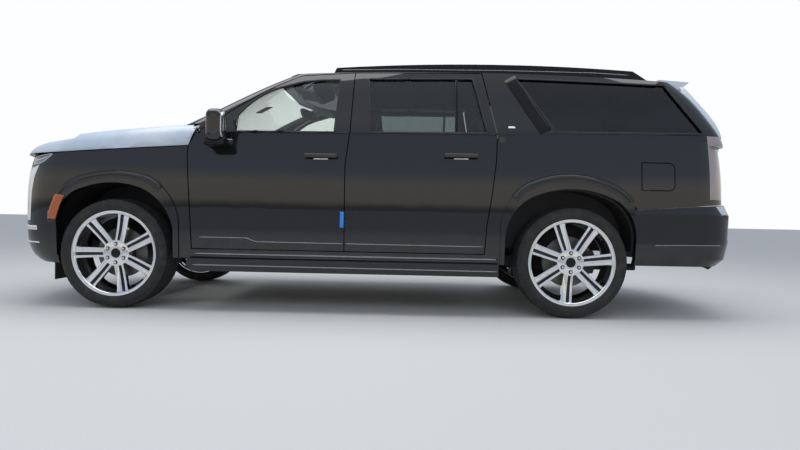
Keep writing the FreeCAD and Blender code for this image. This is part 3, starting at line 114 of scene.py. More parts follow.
class Finish(Net):
    """One procedural material, patterned in object space."""

    def __init__(self, name):
        self.material = bpy.data.materials.new(name)
        self.material.use_nodes = True
        super().__init__(self.material.node_tree)
        self.point = self.node("ShaderNodeTexCoord", output="Object")

    def axis(self, which):
        return self.node("ShaderNodeSeparateXYZ", None, (self.point,), "XYZ".index(which))

    def ribs(self, per_metre):
        """Ridges stacked along the height: each rises and falls once."""
        return (self.axis("Z") * per_metre).math("FRACT").math("PINGPONG", 0.5)

    def stretched(self, scale):
        return self.node("ShaderNodeMapping", None, {"Vector": self.point, "Scale": scale})

    def noise(self, scale, detail=3.0, rough=0.5, where=None):
        return self.node("ShaderNodeTexNoise", None, {
            "Vector": where or self.point, "Scale": scale, "Detail": detail, "Roughness": rough})

    def cells(self, scale):
        return self.node("ShaderNodeTexVoronoi", None, {"Vector": self.point, "Scale": scale}, "Distance")

    def bump(self, height, distance):
        return self.node("ShaderNodeBump", None, {"Height": height, "Distance": distance, "Strength": 1.0})

    def set(self, **sockets):
        """Fill the main shader's sockets, the words of a name joined by underscores."""
        for key, value in sockets.items():
            self.fill(self.tree.nodes["Principled BSDF"].inputs[key.replace("_", " ")], value)
        return self.material


def gloss_paint():
    """Black enamel under clear lacquer: faint flake, soft ripple, road dust low down."""
    f = Finish("black_enamel")
    dust = (1 - f.axis("Z").step(0.30, 0.80)) * f.noise(7, 5, 0.62).step(0.40, 0.75)
    flake = f.cells(1400).step(0.0, 0.5)
    base = f.mix(flake, (0.0075, 0.008, 0.0095), (0.0055, 0.0058, 0.0068))
    return f.set(
        Base_Color=f.mix(dust * 0.12, base, (0.085, 0.078, 0.068)), Roughness=0.30 + dust * 0.25,
        Coat_Weight=0.92 - dust * 0.30, Coat_Roughness=0.02, Coat_IOR=1.68,
        Specular_IOR_Level=0.0, Normal=f.bump(f.noise(90, 2), 0.00010))


def transit_film():
    """White protective film with a blue cast: fine wrinkles, stretch lines and tape overlaps."""
    f = Finish("transit_film")
    wrinkle = f.noise(5.5, 5, 0.6, f.stretched((1.0, 6.0, 1.0)))
    fine = f.noise(60, 3, 0.6, f.stretched((0.6, 3.0, 1.0)))
    colour = f.mix(f.noise(2.2, 4, 0.6).step(0.3, 0.7), (0.41, 0.49, 0.61), (0.56, 0.62, 0.69))
    overlap = (f.axis("Y").math("ABSOLUTE") * 2.22).math("FRACT").step(0.955, 0.985)
    return f.set(
        Base_Color=f.mix(overlap * 0.5, colour, (0.66, 0.71, 0.77)), Roughness=0.30 + fine * 0.18,
        Coat_Weight=0.25, Coat_Roughness=0.12,
        Normal=f.bump(wrinkle * 0.9 + fine * 0.12 + overlap * 0.15, 0.004))


def pane(name, tint):
    """Glass: a see-through share and a mirror sheen that grows towards the edge of view.

    The mirror share is 0.04 + 0.9 (1 - cosine of the view's angle) to the fifth power, plus smears."""
    f = Finish(name)
    facing = f.node("ShaderNodeLayerWeight", None, {"Blend": 0.5}, "Facing")
    share = facing ** 5 * 0.9 + 0.04 + f.noise(9, 4, 0.6) * 0.012
    shine = f.node("ShaderNodeBsdfGlossy", None, {"Color": (1, 1, 1), "Roughness": 0.015}, "BSDF")
    through = f.node("ShaderNodeBsdfTransparent", None, {"Color": tint}, "BSDF")
    both = f.node("ShaderNodeMixShader", None, (share, through, shine), "Shader")
    f.fill(f.tree.nodes["Material Output"].inputs["Surface"], both)
    return f.set(Base_Color=(0.02, 0.02, 0.02), Roughness=0.02)


def bright_metal(name, colour, rough):
    """Polished or machined metal with faint smudges."""
    f = Finish(name)
    smudge = f.noise(30, 4, 0.6)
    dull = tuple(0.82 * c for c in colour)
    return f.set(Base_Color=f.mix(smudge.step(0.45, 0.8), colour, dull), Metallic=1.0,
                 Roughness=rough + smudge * 0.07, Normal=f.bump(f.noise(750, 2, 0.5), 0.00004))


def black_gloss():
    """Gloss black trim with fine dust on it."""
    f = Finish("gloss_black_trim")
    dust = f.noise(40, 5, 0.65).step(0.5, 0.9)
    return f.set(Base_Color=f.mix(dust * 0.08, (0.005, 0.005, 0.006), (0.07, 0.066, 0.062)),
                 Roughness=0.25 + dust * 0.15, Coat_Weight=0.6, Coat_Roughness=0.05, Specular_IOR_Level=0.0)


def grained(name, colour, rough=0.55, scale=900, depth=0.00025):
    """Moulded plastic with a leathery grain and slight fading."""
    f = Finish(name)
    fade = f.noise(6, 4, 0.6)
    pale = tuple(min(1.0, c * 1.7 + 0.01) for c in colour)
    return f.set(Base_Color=f.mix(fade.step(0.45, 0.85) * 0.5, colour, pale), Roughness=rough + fade * 0.12,
                 Normal=f.bump(f.cells(scale), depth))


def rubber():
    """Tyre rubber, greyer where it meets the road, with a faint brown bloom."""
    f = Finish("tyre_rubber_black")
    bloom = f.noise(14, 5, 0.65)
    colour = f.mix(bloom.step(0.4, 0.8), (0.019, 0.019, 0.020), (0.042, 0.040, 0.038))
    return f.set(Base_Color=colour, Roughness=0.62 + bloom * 0.2, Specular_IOR_Level=0.35,
                 Normal=f.bump(f.noise(500, 3, 0.6), 0.0003))


def cast_iron():
    """Cast and machined brake iron with rust at its edges."""
    f = Finish("brake_iron")
    pits = f.noise(300, 4, 0.6)
    rust = f.noise(24, 5, 0.65).step(0.62, 0.8)
    return f.set(Base_Color=f.mix(rust * 0.6, (0.17, 0.165, 0.16), (0.12, 0.07, 0.05)),
                 Metallic=0.9 - rust * 0.5, Roughness=0.42 + pits * 0.2, Normal=f.bump(pits, 0.0003))


def coated_steel():
    """Black underbody coating over steel, dusty."""
    f = Finish("underbody_coating")
    dust = f.noise(9, 5, 0.6)
    return f.set(Base_Color=f.mix(dust.step(0.45, 0.8), (0.016, 0.016, 0.017), (0.055, 0.05, 0.045)),
                 Roughness=0.5 + dust * 0.2, Normal=f.bump(f.noise(220, 3, 0.5), 0.0005))


def hide(name, colour):
    """Seat leather: pebbled grain, creases and a soft sheen."""
    f = Finish(name)
    crease = f.noise(16, 5, 0.65)
    worn = tuple(min(1.0, c * 1.5 + 0.01) for c in colour)
    return f.set(Base_Color=f.mix(crease.step(0.4, 0.8), colour, worn), Roughness=0.42 + crease * 0.15,
                 Normal=f.bump(f.cells(420) * 0.6 + crease * 0.8, 0.0006))


def amber_lens():
    """Amber lens with rows of small prisms."""
    f = Finish("amber_lens")
    cells = f.cells(160)
    return f.set(Base_Color=f.mix(cells, (0.20, 0.040, 0.007), (0.46, 0.120, 0.022)), Roughness=0.12,
                 Coat_Weight=0.7, Normal=f.bump(f.ribs(110) + cells * 0.3, 0.0006))


def red_lens():
    """Dark red lens with rows of prisms."""
    f = Finish("smoked_red_lens")
    rows = f.ribs(70)
    return f.set(Base_Color=f.mix(rows, (0.035, 0.004, 0.005), (0.09, 0.012, 0.012)),
                 Roughness=0.08 + f.noise(3, 2) * 0.03, Coat_Weight=1.0, Coat_Roughness=0.03,
                 Normal=f.bump(rows, 0.0003))


def smoky_strip(name, dark, pale):
    """Unlit lamp behind smoked plastic: ribbed across, hazed from a dark to a pale tone."""
    f = Finish(name)
    haze = f.axis("Z").step(-0.1, 0.85) * (0.80 + f.noise(20, 3) * 0.30)
    return f.set(Base_Color=f.mix(haze, dark, pale), Roughness=0.14, Coat_Weight=0.8,
                 Normal=f.bump(f.ribs(160), 0.0004))


def light_guide():
    """Frosted white lamp element with fine prisms."""
    f = Finish("light_guide")
    return f.set(Base_Color=f.mix(f.noise(50, 2), (0.72, 0.74, 0.75), (0.86, 0.87, 0.88)), Roughness=0.22,
                 Coat_Weight=0.5, Normal=f.bump(f.ribs(260), 0.0005))


def blue_foam():
    """Soft blue foam with open pores."""
    f = Finish("blue_edge_foam")
    pores = f.cells(700)
    return f.set(Base_Color=f.mix(pores, (0.02, 0.16, 0.60), (0.05, 0.26, 0.75)), Roughness=0.6,
                 Normal=f.bump(pores, 0.0004))


PAINT = gloss_paint()
FILM = transit_film()
CLEAR_GLASS = pane("side_glass", (0.90, 0.93, 0.91))
SCREEN_GLASS = pane("screen_glass", (0.91, 0.93, 0.92))
TINTED_GLASS = pane("privacy_glass", (0.56, 0.60, 0.60))
DARK_GLASS = pane("dark_privacy_glass", (0.22, 0.24, 0.27))
ALLOY = bright_metal("polished_alloy_face", (0.80, 0.81, 0.83), 0.06)
# A darkened copy of the polished alloy: painted shade for the pockets between the spokes.
SHADED_ALLOY = bright_metal("dark_alloy_pocket", (0.045, 0.045, 0.055), 0.25)
CHROME = bright_metal("bright_trim", (0.86, 0.87, 0.88), 0.06)
# A darker copy of the bright trim: its tone is painted shade.
SHADED_CHROME = bright_metal("shaded_bright_trim", (0.30, 0.31, 0.32), 0.16)
MIRROR = bright_metal("mirror_silver", (0.80, 0.82, 0.84), 0.02)
BLACK = black_gloss()
PLASTIC = grained("grained_black_plastic", (0.020, 0.020, 0.021))
CABIN = grained("cabin_trim", (0.030, 0.028, 0.027), 0.62, 1100, 0.0002)
LINING = grained("roof_lining", (0.26, 0.25, 0.24), 0.85, 1500, 0.0003)
RUBBER = rubber()
IRON = cast_iron()
COATING = coated_steel()
LEATHER = hide("seat_hide", (0.050, 0.043, 0.038))
AMBER = amber_lens()
RED = red_lens()
SMOKE = smoky_strip("smoky_rear_lens", (0.060, 0.042, 0.046), (0.26, 0.225, 0.235))
GREY_LENS = smoky_strip("smoky_front_lens", (0.11, 0.12, 0.14), (0.20, 0.21, 0.24))
GUIDE = light_guide()
FOAM = blue_foam()

# The finish of each built node; the rest are painted
NODE_FINISHES = (
    (COATING, "chassis_frame front_suspension rear_suspension radiator exhaust"),
    (CABIN, "floor_pan dashboard steering_wheel"),
    (LEATHER, "front_seats second_row_seats third_row_seat"),
    (BLACK, "grille headlamps roof_rails"),
    (PLASTIC, "cowl_panel running_boards arch_liners fuel_tank"),
    (IRON, "engine_block knuckle_left knuckle_right"),
    (SMOKE, "taillamps"),
    (SCREEN_GLASS, "windscreen"),
    (CLEAR_GLASS, "front_door_glass_left front_door_glass_right"),
    (TINTED_GLASS, "rear_door_glass_left rear_door_glass_right"),
    (DARK_GLASS, "roof_glass quarter_glass tailgate_glass"),
)
NODE_FINISH = {name: finish for finish, names in NODE_FINISHES for name in names.split()}
for name, node in NODES.items():
    node.data.materials.clear()
    node.data.materials.append(NODE_FINISH.get(name, PAINT))

# The slot that a piece of each finish usually has
USUAL_SLOTS = {
    "body_paint": (PAINT, FILM), "polished_alloy": (ALLOY, SHADED_ALLOY, CHROME, SHADED_CHROME),
    "lamp_lens": (GUIDE, GREY_LENS, AMBER), "tail_lens": (RED,), "black_trim": (BLACK, RUBBER, FOAM),
    "grey_plastic": (PLASTIC,), "glass_clear": (MIRROR,), "brake_metal": (IRON,),
    "interior_trim": (CABIN, LINING), "seat_leather": (LEATHER,),
}
SLOT_OF = {finish.name: slot for slot, finishes in USUAL_SLOTS.items() for finish in finishes}


# Making meshes

def added(name, data):
    """A new object in the scene."""
    made = bpy.data.objects.new(name, data)
    bpy.context.scene.collection.objects.link(made)
    return made


def piece(name, form, finish, body="body", slot=None, merge=MERGE):
    """A finished mesh from a form, which is points and faces, riding on a body."""
    points, faces = form
    slot = slot or SLOT_OF[finish.name]
    mesh = bpy.data.meshes.new(name)
    mesh.from_pydata(np.asarray(points, float).reshape(-1, 3).tolist(), [],
                     [list(map(int, row)) for row in faces])
    mesh.update()
    made = added(name, mesh)
    if merge:
        weld(made, merge)
    mesh.materials.append(finish)
    mesh.polygons.foreach_set("use_smooth", np.ones(len(mesh.polygons), bool))
    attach(made, body)
    return made


def pair(name, form, finish, body="body", slot=None):
    """A left-hand piece and its mirror image on the right."""
    points = np.asarray(form[0], float).reshape(-1, 3)
    for suffix, sign in SIDES:
        piece(f"{name}_{suffix}", (points * (1, sign, 1), form[1]), finish, body.format(suffix), slot)


def weld(made, distance, turn=True):
    """Merge doubled points, then turn every face of a closed form outwards."""
    work = bmesh.new()
    work.from_mesh(made.data)
    bmesh.ops.remove_doubles(work, verts=work.verts, dist=distance)
    bmesh.ops.dissolve_degenerate(work, edges=work.edges, dist=distance)
    if turn:
        bmesh.ops.recalc_face_normals(work, faces=work.faces)
    work.to_mesh(made.data)
    work.free()


def crisp(made, degrees):
    """Keep edges sharper than the given angle unsmoothed."""
    made.data.set_sharp_from_angle(angle=math.radians(degrees))


def grid_faces(rows, columns, close_rows=False, close_columns=False):
    """Quads of a grid of points, optionally joined end to end either way."""
    i = np.arange(rows if close_rows else rows - 1)
    j = np.arange(columns if close_columns else columns - 1)
    i, j = np.meshgrid(i, j, indexing="ij")
    i2, j2 = (i + 1) % rows, (j + 1) % columns
    quads = stacked(i * columns + j, i2 * columns + j, i2 * columns + j2, i * columns + j2)
    return list(quads.reshape(-1, 4))


def stacked(*axes):
    """Points from their coordinates, each an array or a number that is spread over the others."""
    return np.stack(np.broadcast_arrays(*axes), -1)


def span_grid(first, second):
    """Grid of places over two ranges, each with its start, end and count."""
    return np.meshgrid(np.linspace(*first), np.linspace(*second), indexing="ij")


def joined(parts):
    """One set of points and faces from several."""
    points, faces, start = [], [], 0
    for some_points, some_faces in parts:
        points.append(np.asarray(some_points, float).reshape(-1, 3))
        faces.extend((np.asarray(row) + start) for row in some_faces)
        start += len(points[-1])
    return np.vstack(points), faces


def spun(points, angle, first=0, second=1):
    """Points turned in the plane of two axes: a cos - b sin and a sin + b cos."""
    points = np.array(points, float)
    a, b = points[..., first].copy(), points[..., second].copy()
    c, s = math.cos(angle), math.sin(angle)
    points[..., first], points[..., second] = a * c - b * s, a * s + b * c
    return points


def lathe(profile, steps, closed=True):
    """A profile of (radius, height) turned about the third axis; it is closed or ends on the axis."""
    radius, height = np.asarray(profile, float).T
    angle = np.linspace(0, TURN, steps, endpoint=False)
    points = stacked(np.outer(np.cos(angle), radius), np.outer(np.sin(angle), radius), height)
    return points, grid_faces(steps, len(radius), True, closed)


def carried(grid, closed=False):
    """Faces of profiles carried along a path, capped at its ends when it is open."""
    rows, columns = grid.shape[:2]
    faces = grid_faces(rows, columns, closed, True)
    if not closed:
        faces += [np.arange(columns)[::-1], np.arange(columns) + (rows - 1) * columns]
    return grid, faces


def ramped(value, width):
    """0 below zero, 1 above the width, straight between."""
    return np.clip(value / width, 0, 1)


def bell(value, width, power=2):
    """Bell curve: e to the minus (value / width) to the power; a higher power has a flatter top."""
    return np.exp(-(value / width) ** power)


def rounded_line(points, radius, steps):
    """A closed run of corners with each corner replaced by a short curve of its neighbours."""
    points = np.asarray(points, float)
    most = 0.45      # share of an edge that a corner may take
    t = np.linspace(0, 1, steps)[None, :, None]
    ends = []
    for neighbour in (np.roll(points, 1, 0), np.roll(points, -1, 0)):
        length = np.maximum(np.linalg.norm(neighbour - points, axis=1), TINY)
        ends.append((points + (neighbour - points) * np.minimum(radius / length, most)[:, None])[:, None, :])
    middle = points[:, None, :]
    return (ends[0] * (1 - t) ** 2 + 2 * middle * t * (1 - t) + ends[1] * t ** 2).reshape(-1, 2)


def ellipsoid_form(centre, half, power, steps=(28, 40), tilt=0.0):
    """Rounded box: each coordinate is its half size times a signed power of a sine or cosine, tilted about Y."""
    u = np.linspace(-math.pi / 2, math.pi / 2, steps[0])
    v = np.linspace(-math.pi, math.pi, steps[1], endpoint=False)
    u, v = np.meshgrid(u, v, indexing="ij")

    def bent(value, e):
        return np.sign(value) * np.abs(value) ** e

    x = half[0] * bent(np.cos(u), power[0]) * bent(np.cos(v), power[1])
    y = half[1] * bent(np.sin(u), power[0])
    z = half[2] * bent(np.cos(u), power[0]) * bent(np.sin(v), power[1])
    grid = spun(stacked(x, y, z), tilt, 0, 2) + np.array(centre)
    return grid, grid_faces(steps[0], steps[1], False, True)


# Wheels, drawn as seen from outside: across to the right, up, and out of the wheel

RIM_PROFILE = (
    (0.2985, 0.1225), (0.3045, 0.1262), (0.3130, 0.1270), (0.3195, 0.1262), (0.3220, 0.1235), (0.3212, 0.1195),
    (0.3120, 0.1168), (0.3040, 0.1110), (0.3030, 0.0700), (0.2760, 0.0400), (0.2730, -0.0360), (0.3020, -0.0680),
    (0.3035, -0.1100), (0.3120, -0.1170), (0.3212, -0.1190), (0.3220, -0.1230), (0.3195, -0.1262),
    (0.3120, -0.1268), (0.2960, -0.1200), (0.2915, -0.0730), (0.2660, -0.0430), (0.2640, 0.0350),
    (0.2840, 0.0700), (0.2900, 0.1010), (0.2935, 0.1140),
)
HUB_PROFILE = (
    (0.0, 0.0900), (0.0395, 0.0900), (0.0405, 0.0925), (0.0480, 0.0935), (0.0560, 0.0920), (0.0880, 0.0925),
    (0.0985, 0.0890), (0.1010, 0.0830), (0.1000, 0.0480), (0.0600, 0.0450), (0.0, 0.0450),
)
RECESS_PROFILE = ((0.0118, 0.0895), (0.0128, 0.0947), (0.0160, 0.0953), (0.0182, 0.0937), (0.0182, 0.0875),
                  (0.0118, 0.0855))
WELL_PROFILE = ((0.0, 0.0951), (0.0150, 0.0951), (0.0166, 0.0937), (0.0166, 0.0909), (0.0, 0.0909))
NUT_PROFILE = ((0.0, 0.1085), (0.0055, 0.1080), (0.0092, 0.1045), (0.0104, 0.0995), (0.0104, 0.0845),
               (0.0, 0.0845))
CAP_PROFILE = ((0.0, 0.0975), (0.012, 0.0973), (0.024, 0.0965), (0.0325, 0.0950), (0.0352, 0.0935),
               (0.0362, 0.0900), (0.0, 0.0880))
CAP_RING_PROFILE = ((0.0358, 0.0935), (0.0372, 0.0958), (0.0392, 0.0958), (0.0402, 0.0932), (0.0402, 0.0900),
                    (0.0358, 0.0900))
DISC_PROFILE = ((0.0310, -0.0325), (0.070, -0.0325), (0.186, -0.0345), (0.1895, -0.0315), (0.1895, -0.0075),
                (0.186, -0.0047), (0.112, -0.0047), (0.106, -0.0005), (0.100, 0.040), (0.092, 0.0445),
                (0.0310, 0.0445))
SPOKES, NUTS, BOLT_CIRCLE = 7, 6, 0.0699
STATION = np.linspace(0, 1, 15)
SPOKE_R = 0.070 + STATION * 0.231
FACE_OUT = 0.0905 + 0.026 * STATION ** 1.6 - 0.004 * np.sin(math.pi * STATION)
FLARE = ramped(STATION - 0.86, 0.14) ** 2


def branch(centre, width, out, crown, drop, chamfer):
    """A spoke branch from hub to rim; at each station its top is crowned, chamfered and its flanks taper."""
    half, edge = width[:, None] / 2, 0.8 * chamfer
    shoulder, foot = 0.35, 0.86      # shares of the half width at the crown and at the foot
    sideways = centre[:, None] + np.hstack([-half + chamfer, -half * shoulder, half * shoulder, half - chamfer,
                                            half, half * foot, -half * foot, -half])
    height = out[:, None] + np.array([0, crown, crown, 0, -edge, -drop, -drop, -edge])
    return carried(stacked(SPOKE_R[:, None], sideways, height))


# Broad branch on the clockwise side, slim branch on the other, and the floor of the slot between
BROAD = branch(-0.0205 - 0.0035 * STATION - 0.006 * FLARE, 0.033 + 0.006 * STATION + 0.016 * FLARE,
               FACE_OUT, 0.0012, 0.045, 0.0045)
SLIM = branch(0.0235 + 0.0065 * STATION + 0.003 * FLARE, 0.0165 + 0.002 * STATION + 0.010 * FLARE,
              FACE_OUT - 0.001, 0.0008, 0.040, 0.0035)
SLOT_FLOOR = branch(0.003 + 0.001 * STATION, 0.044 + 0.004 * STATION, FACE_OUT - 0.0235 + 0.018 * FLARE,
                    0.0, 0.016, 0.001)


def bolted(profile, steps):
    """The same turned form at every nut's place."""
    points, faces = lathe(profile, steps)
    angles = math.pi / 2 + np.arange(NUTS) * TURN / NUTS
    return [(points + BOLT_CIRCLE * np.array([math.cos(a), math.sin(a), 0]), faces) for a in angles]


TYRE_WALL = (
    (0.3055, 0.108), (0.3075, 0.118), (0.3225, 0.1245), (0.3265, 0.1312), (0.3295, 0.1338), (0.334, 0.1352),
    (0.340, 0.1382), (0.349, 0.1412), (0.3585, 0.1424), (0.3600, 0.1418), (0.3615, 0.1423), (0.370, 0.1412),
    (0.3790, 0.1372), (0.3860, 0.1322), (0.3920, 0.1272),
)
TYRE_INSIDE = ((0.3055, -0.104), (0.330, -0.118), (0.375, -0.118), (0.392, -0.095), (0.396, 0.0),
               (0.392, 0.095), (0.375, 0.118), (0.330, 0.118), (0.3055, 0.104))
RING_GROOVES = ((-0.052, 0.0058), (-0.017, 0.0052), (0.017, 0.0052), (0.052, 0.0058))
TREAD_HALF, TREAD_STEPS, PITCHES, SHOULDER_START = 0.124, 57, 72, 11
TYRE_RADIUS, RING_DEPTH, SLANT_DEPTH, MIDDLE_DEPTH, BLOCK_DEPTH = 0.412, 0.0075, 0.0060, 0.0032, 0.0016


def tyre_grid(steps=504):
    """Tyre casing: side walls, shoulder blocks and a tread cut by ring grooves and slanted cross cuts.

    The radius at a place of the tread is the crown's radius less the depth of the grooves there."""
    across = np.linspace(TREAD_HALF, -TREAD_HALF, TREAD_STEPS)
    share = np.abs(across / TREAD_HALF)
    crown = TYRE_RADIUS - 0.0105 * share ** 3.2 - 0.0008 * share
    far_wall = [(r, -w) for r, w in reversed(TYRE_WALL)]
    profile = np.array([*TYRE_WALL, *zip(crown, across), *far_wall, *TYRE_INSIDE])
    first = len(TYRE_WALL)
    last = first + TREAD_STEPS
    angle = np.arange(steps) * TURN / steps
    radius = np.broadcast_to(profile[:, 0], (steps, len(profile))).copy()
    out = np.broadcast_to(profile[:, 1], (steps, len(profile))).copy()
    w, pitch = np.meshgrid(across, angle * PITCHES / TURN)
    ring = np.zeros_like(w)
    for place, half in RING_GROOVES:
        ring = np.maximum(ring, ramped(half - np.abs(w - place), 0.0016))
    cut = (pitch + np.abs(w) * 16 + 0.35 * np.sin(w * 40)) % 1.0
    slanted = ramped(0.085 - np.abs(cut - 0.5), 0.04) * ramped(np.abs(w) - 0.064, 0.01)
    middle = ramped(0.06 - np.abs((pitch - w * 22) % 1.0 - 0.5), 0.03) * ramped(0.056 - np.abs(w), 0.004)
    radius[:, first:last] -= RING_DEPTH * ring + (SLANT_DEPTH * slanted + MIDDLE_DEPTH * middle) * (1 - ring)
    wall = np.concatenate([np.arange(SHOULDER_START, first), np.arange(last, last + first - SHOULDER_START)])
    block = ramped(0.30 - np.abs((angle * PITCHES / TURN) % 1.0 - 0.5), 0.06)[:, None]
    out[:, wall] -= np.sign(out[:, wall]) * BLOCK_DEPTH * (1 - block)
    points = stacked(radius * np.cos(angle)[:, None], radius * np.sin(angle)[:, None], out)
    return points, grid_faces(steps, len(profile), True, True)


def wheel(place, suffix, side, x, base):
    """Rim, slot floors, nuts and cap, brake disc and tyre of one wheel."""
    def fitted(name, form, finish, slot=None, edge=None):
        """A form drawn as (across, up, out) placed on its axle, with its sharp edges kept."""
        p = np.asarray(form[0], float).reshape(-1, 3)
        p = stacked(x - side * p[:, 0], side * (TRACK + p[:, 2]), AXLE_HEIGHT + p[:, 1])
        made = piece(name.format(f"{place}_{suffix}"), (p, form[1]), finish, f"wheel_{place}_{suffix}", slot)
        if edge:
            crisp(made, edge)
        return made

    angles = base + np.arange(SPOKES) * TURN / SPOKES
    bright = [lathe(RIM_PROFILE, 160), lathe(HUB_PROFILE, 120)]
    bright += [(spun(grid, a), faces) for a in angles for grid, faces in (BROAD, SLIM)]
    rim = fitted("rim_{}_spokes", joined(bright + bolted(RECESS_PROFILE, 24)), ALLOY, edge=32)
    # The slot floors are darkened alloy: painted shade in the pockets between the spokes.
    fitted("slot_floors_{}", joined([(spun(SLOT_FLOOR[0], a), SLOT_FLOOR[1]) for a in angles]), SHADED_ALLOY,
           edge=32)
    fitted("nut_wells_{}", joined(bolted(WELL_PROFILE, 24)), BLACK)
    fitted("wheel_nuts_{}", joined(bolted(NUT_PROFILE, 6)), CHROME, edge=30)
    fitted("wheel_cap_{}", lathe(CAP_PROFILE, 48), BLACK)
    fitted("cap_ring_{}", lathe(CAP_RING_PROFILE, 64), CHROME)
    fitted("brake_disc_{}", lathe(DISC_PROFILE, 128), IRON, edge=30)
    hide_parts(f"rim_{place}_{suffix}")
    tread = fitted("tyre_{}_tread", tyre_grid(), RUBBER, "tyre_rubber", 38)
    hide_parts(f"tyre_{place}_{suffix}")


for suffix, side in SIDES:
    wheel("front", suffix, side, AXLE_FRONT, math.radians(77.5))
    wheel("rear", suffix, side, AXLE_REAR, math.radians(109.5))


# The outer skin of a node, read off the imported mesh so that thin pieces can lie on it

def triangles(name):
    """Corner points of a node's triangles, triangle by corner by axis, and their unit normals."""
    mesh = NODES[name].data
    mesh.calc_loop_triangles()
    points = np.empty(len(mesh.vertices) * 3, np.float32)
    mesh.vertices.foreach_get("co", points)
    index = np.empty(len(mesh.loop_triangles) * 3, np.int32)
    mesh.loop_triangles.foreach_get("vertices", index)
    corners = points.reshape(-1, 3).astype(float)[index.reshape(-1, 3)]
    normal = np.cross(corners[:, 1] - corners[:, 0], corners[:, 2] - corners[:, 0])
    return corners, normal / np.maximum(np.linalg.norm(normal, axis=1, keepdims=True), 1e-12)


class Skin:
    """Depth of an outer surface along one axis: the triangle over each place gives it by its plane."""

    FACING = 0.12             # least share of a normal that points out along the axis
    BATCH, MISS = 4000, -9    # places at a time, and the depth that stands for no triangle

    def __init__(self, names, axis=1, sign=1):
        found = [triangles(name) for name in names.split()]
        self.plane = [a for a in range(3) if a != axis]
        self.axis, self.sign = axis, sign
        self.corners = np.concatenate([corners[normal[:, axis] * sign > self.FACING] for corners, normal in found])

    def depth(self, first, second):
        """Depth at places given by their two other coordinates; a miss takes the nearest corner's."""
        first, second = np.asarray(first, float), np.asarray(second, float)
        p = stacked(first.ravel(), second.ravel())
        flat, heights = self.corners[:, :, self.plane], self.corners[:, :, self.axis]
        a, middle = flat[:, 0], flat.mean(1)
        ab, ac = flat[:, 1] - a, flat[:, 2] - a
        area = ab[:, 0] * ac[:, 1] - ab[:, 1] * ac[:, 0]
        area = np.where(np.abs(area) < 1e-12, 1e-12, area)
        result = np.empty(len(p))
        for start in range(0, len(p), self.BATCH):
            q = p[start:start + self.BATCH, None]
            aq = q - a
            u = (aq[..., 0] * ac[:, 1] - aq[..., 1] * ac[:, 0]) / area
            v = (ab[:, 0] * aq[..., 1] - ab[:, 1] * aq[..., 0]) / area
            height = (heights[:, 0] * (1 - u - v) + heights[:, 1] * u + heights[:, 2] * v) * self.sign
            inside = (u > -1e-4) & (v > -1e-4) & (u + v < 1.0001)
            best = np.where(inside, height, self.MISS).max(1)
            near = np.argmin(((q - middle) ** 2).sum(-1), 1)
            result[start:start + self.BATCH] = np.where(best > self.MISS + 1, best,
                                                        height[np.arange(len(q)), near])
        return (result * self.sign).reshape(first.shape)


# Sheets and mouldings that lie on the skin

def closed_slab(outer, inner):
    """Points and faces of a sheet with thickness: two grids of one shape, joined round their edges."""
    rows, columns = outer.shape[:2]
    total = rows * columns
    quads = np.array(grid_faces(rows, columns))
    edge = np.concatenate([np.arange(columns), np.arange(1, rows) * columns + columns - 1,
                           (rows - 1) * columns + np.arange(columns - 2, -1, -1),
                           np.arange(rows - 2, 0, -1) * columns])
    after = np.roll(edge, -1)
    rim = stacked(edge, after, after + total, edge + total)
    faces = list(quads) + list(quads[:, ::-1] + total) + list(rim)
    return np.concatenate([outer.reshape(-1, 3), inner.reshape(-1, 3)]), faces


def length_along(line):
    """Distance from the start of a run of corners to each corner."""
    return np.concatenate([[0], np.cumsum(np.linalg.norm(np.diff(line, axis=0), axis=1))])


def resampled(line, step):
    """Points at even steps along a run of corners."""
    line = np.asarray(line, float)
    length = length_along(line)
    s = np.linspace(0, length[-1], max(3, int(math.ceil(length[-1] / step)) + 1))
    return np.stack([np.interp(s, length, line[:, k]) for k in range(line.shape[1])], -1)


def side_moulding(skin, line, profile, step=0.02, closed=False):
    """A profile of (across, lift) along a line of a side view; each point lies on the skin plus its lift."""
    flat = resampled(line, step)
    if closed:
        flat = flat[:-1]
        ahead = np.roll(flat, -1, 0) - np.roll(flat, 1, 0)
    else:
        ahead = np.gradient(flat, axis=0)
    ahead /= np.maximum(np.linalg.norm(ahead, axis=1, keepdims=True), TINY)
    profile = np.asarray(profile, float)
    first = flat[:, None, 0] - ahead[:, None, 1] * profile[None, :, 0]
    second = flat[:, None, 1] + ahead[:, None, 0] * profile[None, :, 0]
    grid = np.empty(first.shape + (3,))
    grid[..., skin.plane[0]], grid[..., skin.plane[1]] = first, second
    grid[..., skin.axis] = skin.depth(first, second) + skin.sign * profile[None, :, 1]
    return carried(grid, closed)


def skin_patch(skin, first, second, lift, sink=0.0015):
    """A sheet on the skin over a grid of places, lifted by a number or an array of numbers."""
    grid = np.empty(first.shape + (3,))
    grid[..., skin.plane[0]], grid[..., skin.plane[1]] = first, second
    under = grid.copy()
    depth = skin.depth(first, second)
    grid[..., skin.axis] = depth + skin.sign * lift
    under[..., skin.axis] = depth - skin.sign * sink
    return closed_slab(grid, under)


def between(low, high, rows, columns):
    """Grid of places between two runs of corners, each a list of (first, second)."""
    short = 0.9999      # keeps the last step from being lost to rounding
    low, high = [resampled(run, length_along(np.asarray(run, float))[-1] / (columns - 1) * short)
                 for run in (low, high)]
    count = min(len(low), len(high))
    low, high = [run[np.linspace(0, len(run) - 1, count).round().astype(int)] for run in (low, high)]
    t = np.linspace(0, 1, rows)[:, None, None]
    both = low[None] * (1 - t) + high[None] * t
    return both[..., 0], both[..., 1]


def strip(width, height):
    """Low moulding section of a width and a height, its foot sunk into the skin."""
    shares = ((-0.5, 0.0), (-0.38, 1.0), (0.38, 1.0), (0.5, 0.0), (0.5, -0.8), (-0.5, -0.8))
    return [(w * width, h * height) for w, h in shares]


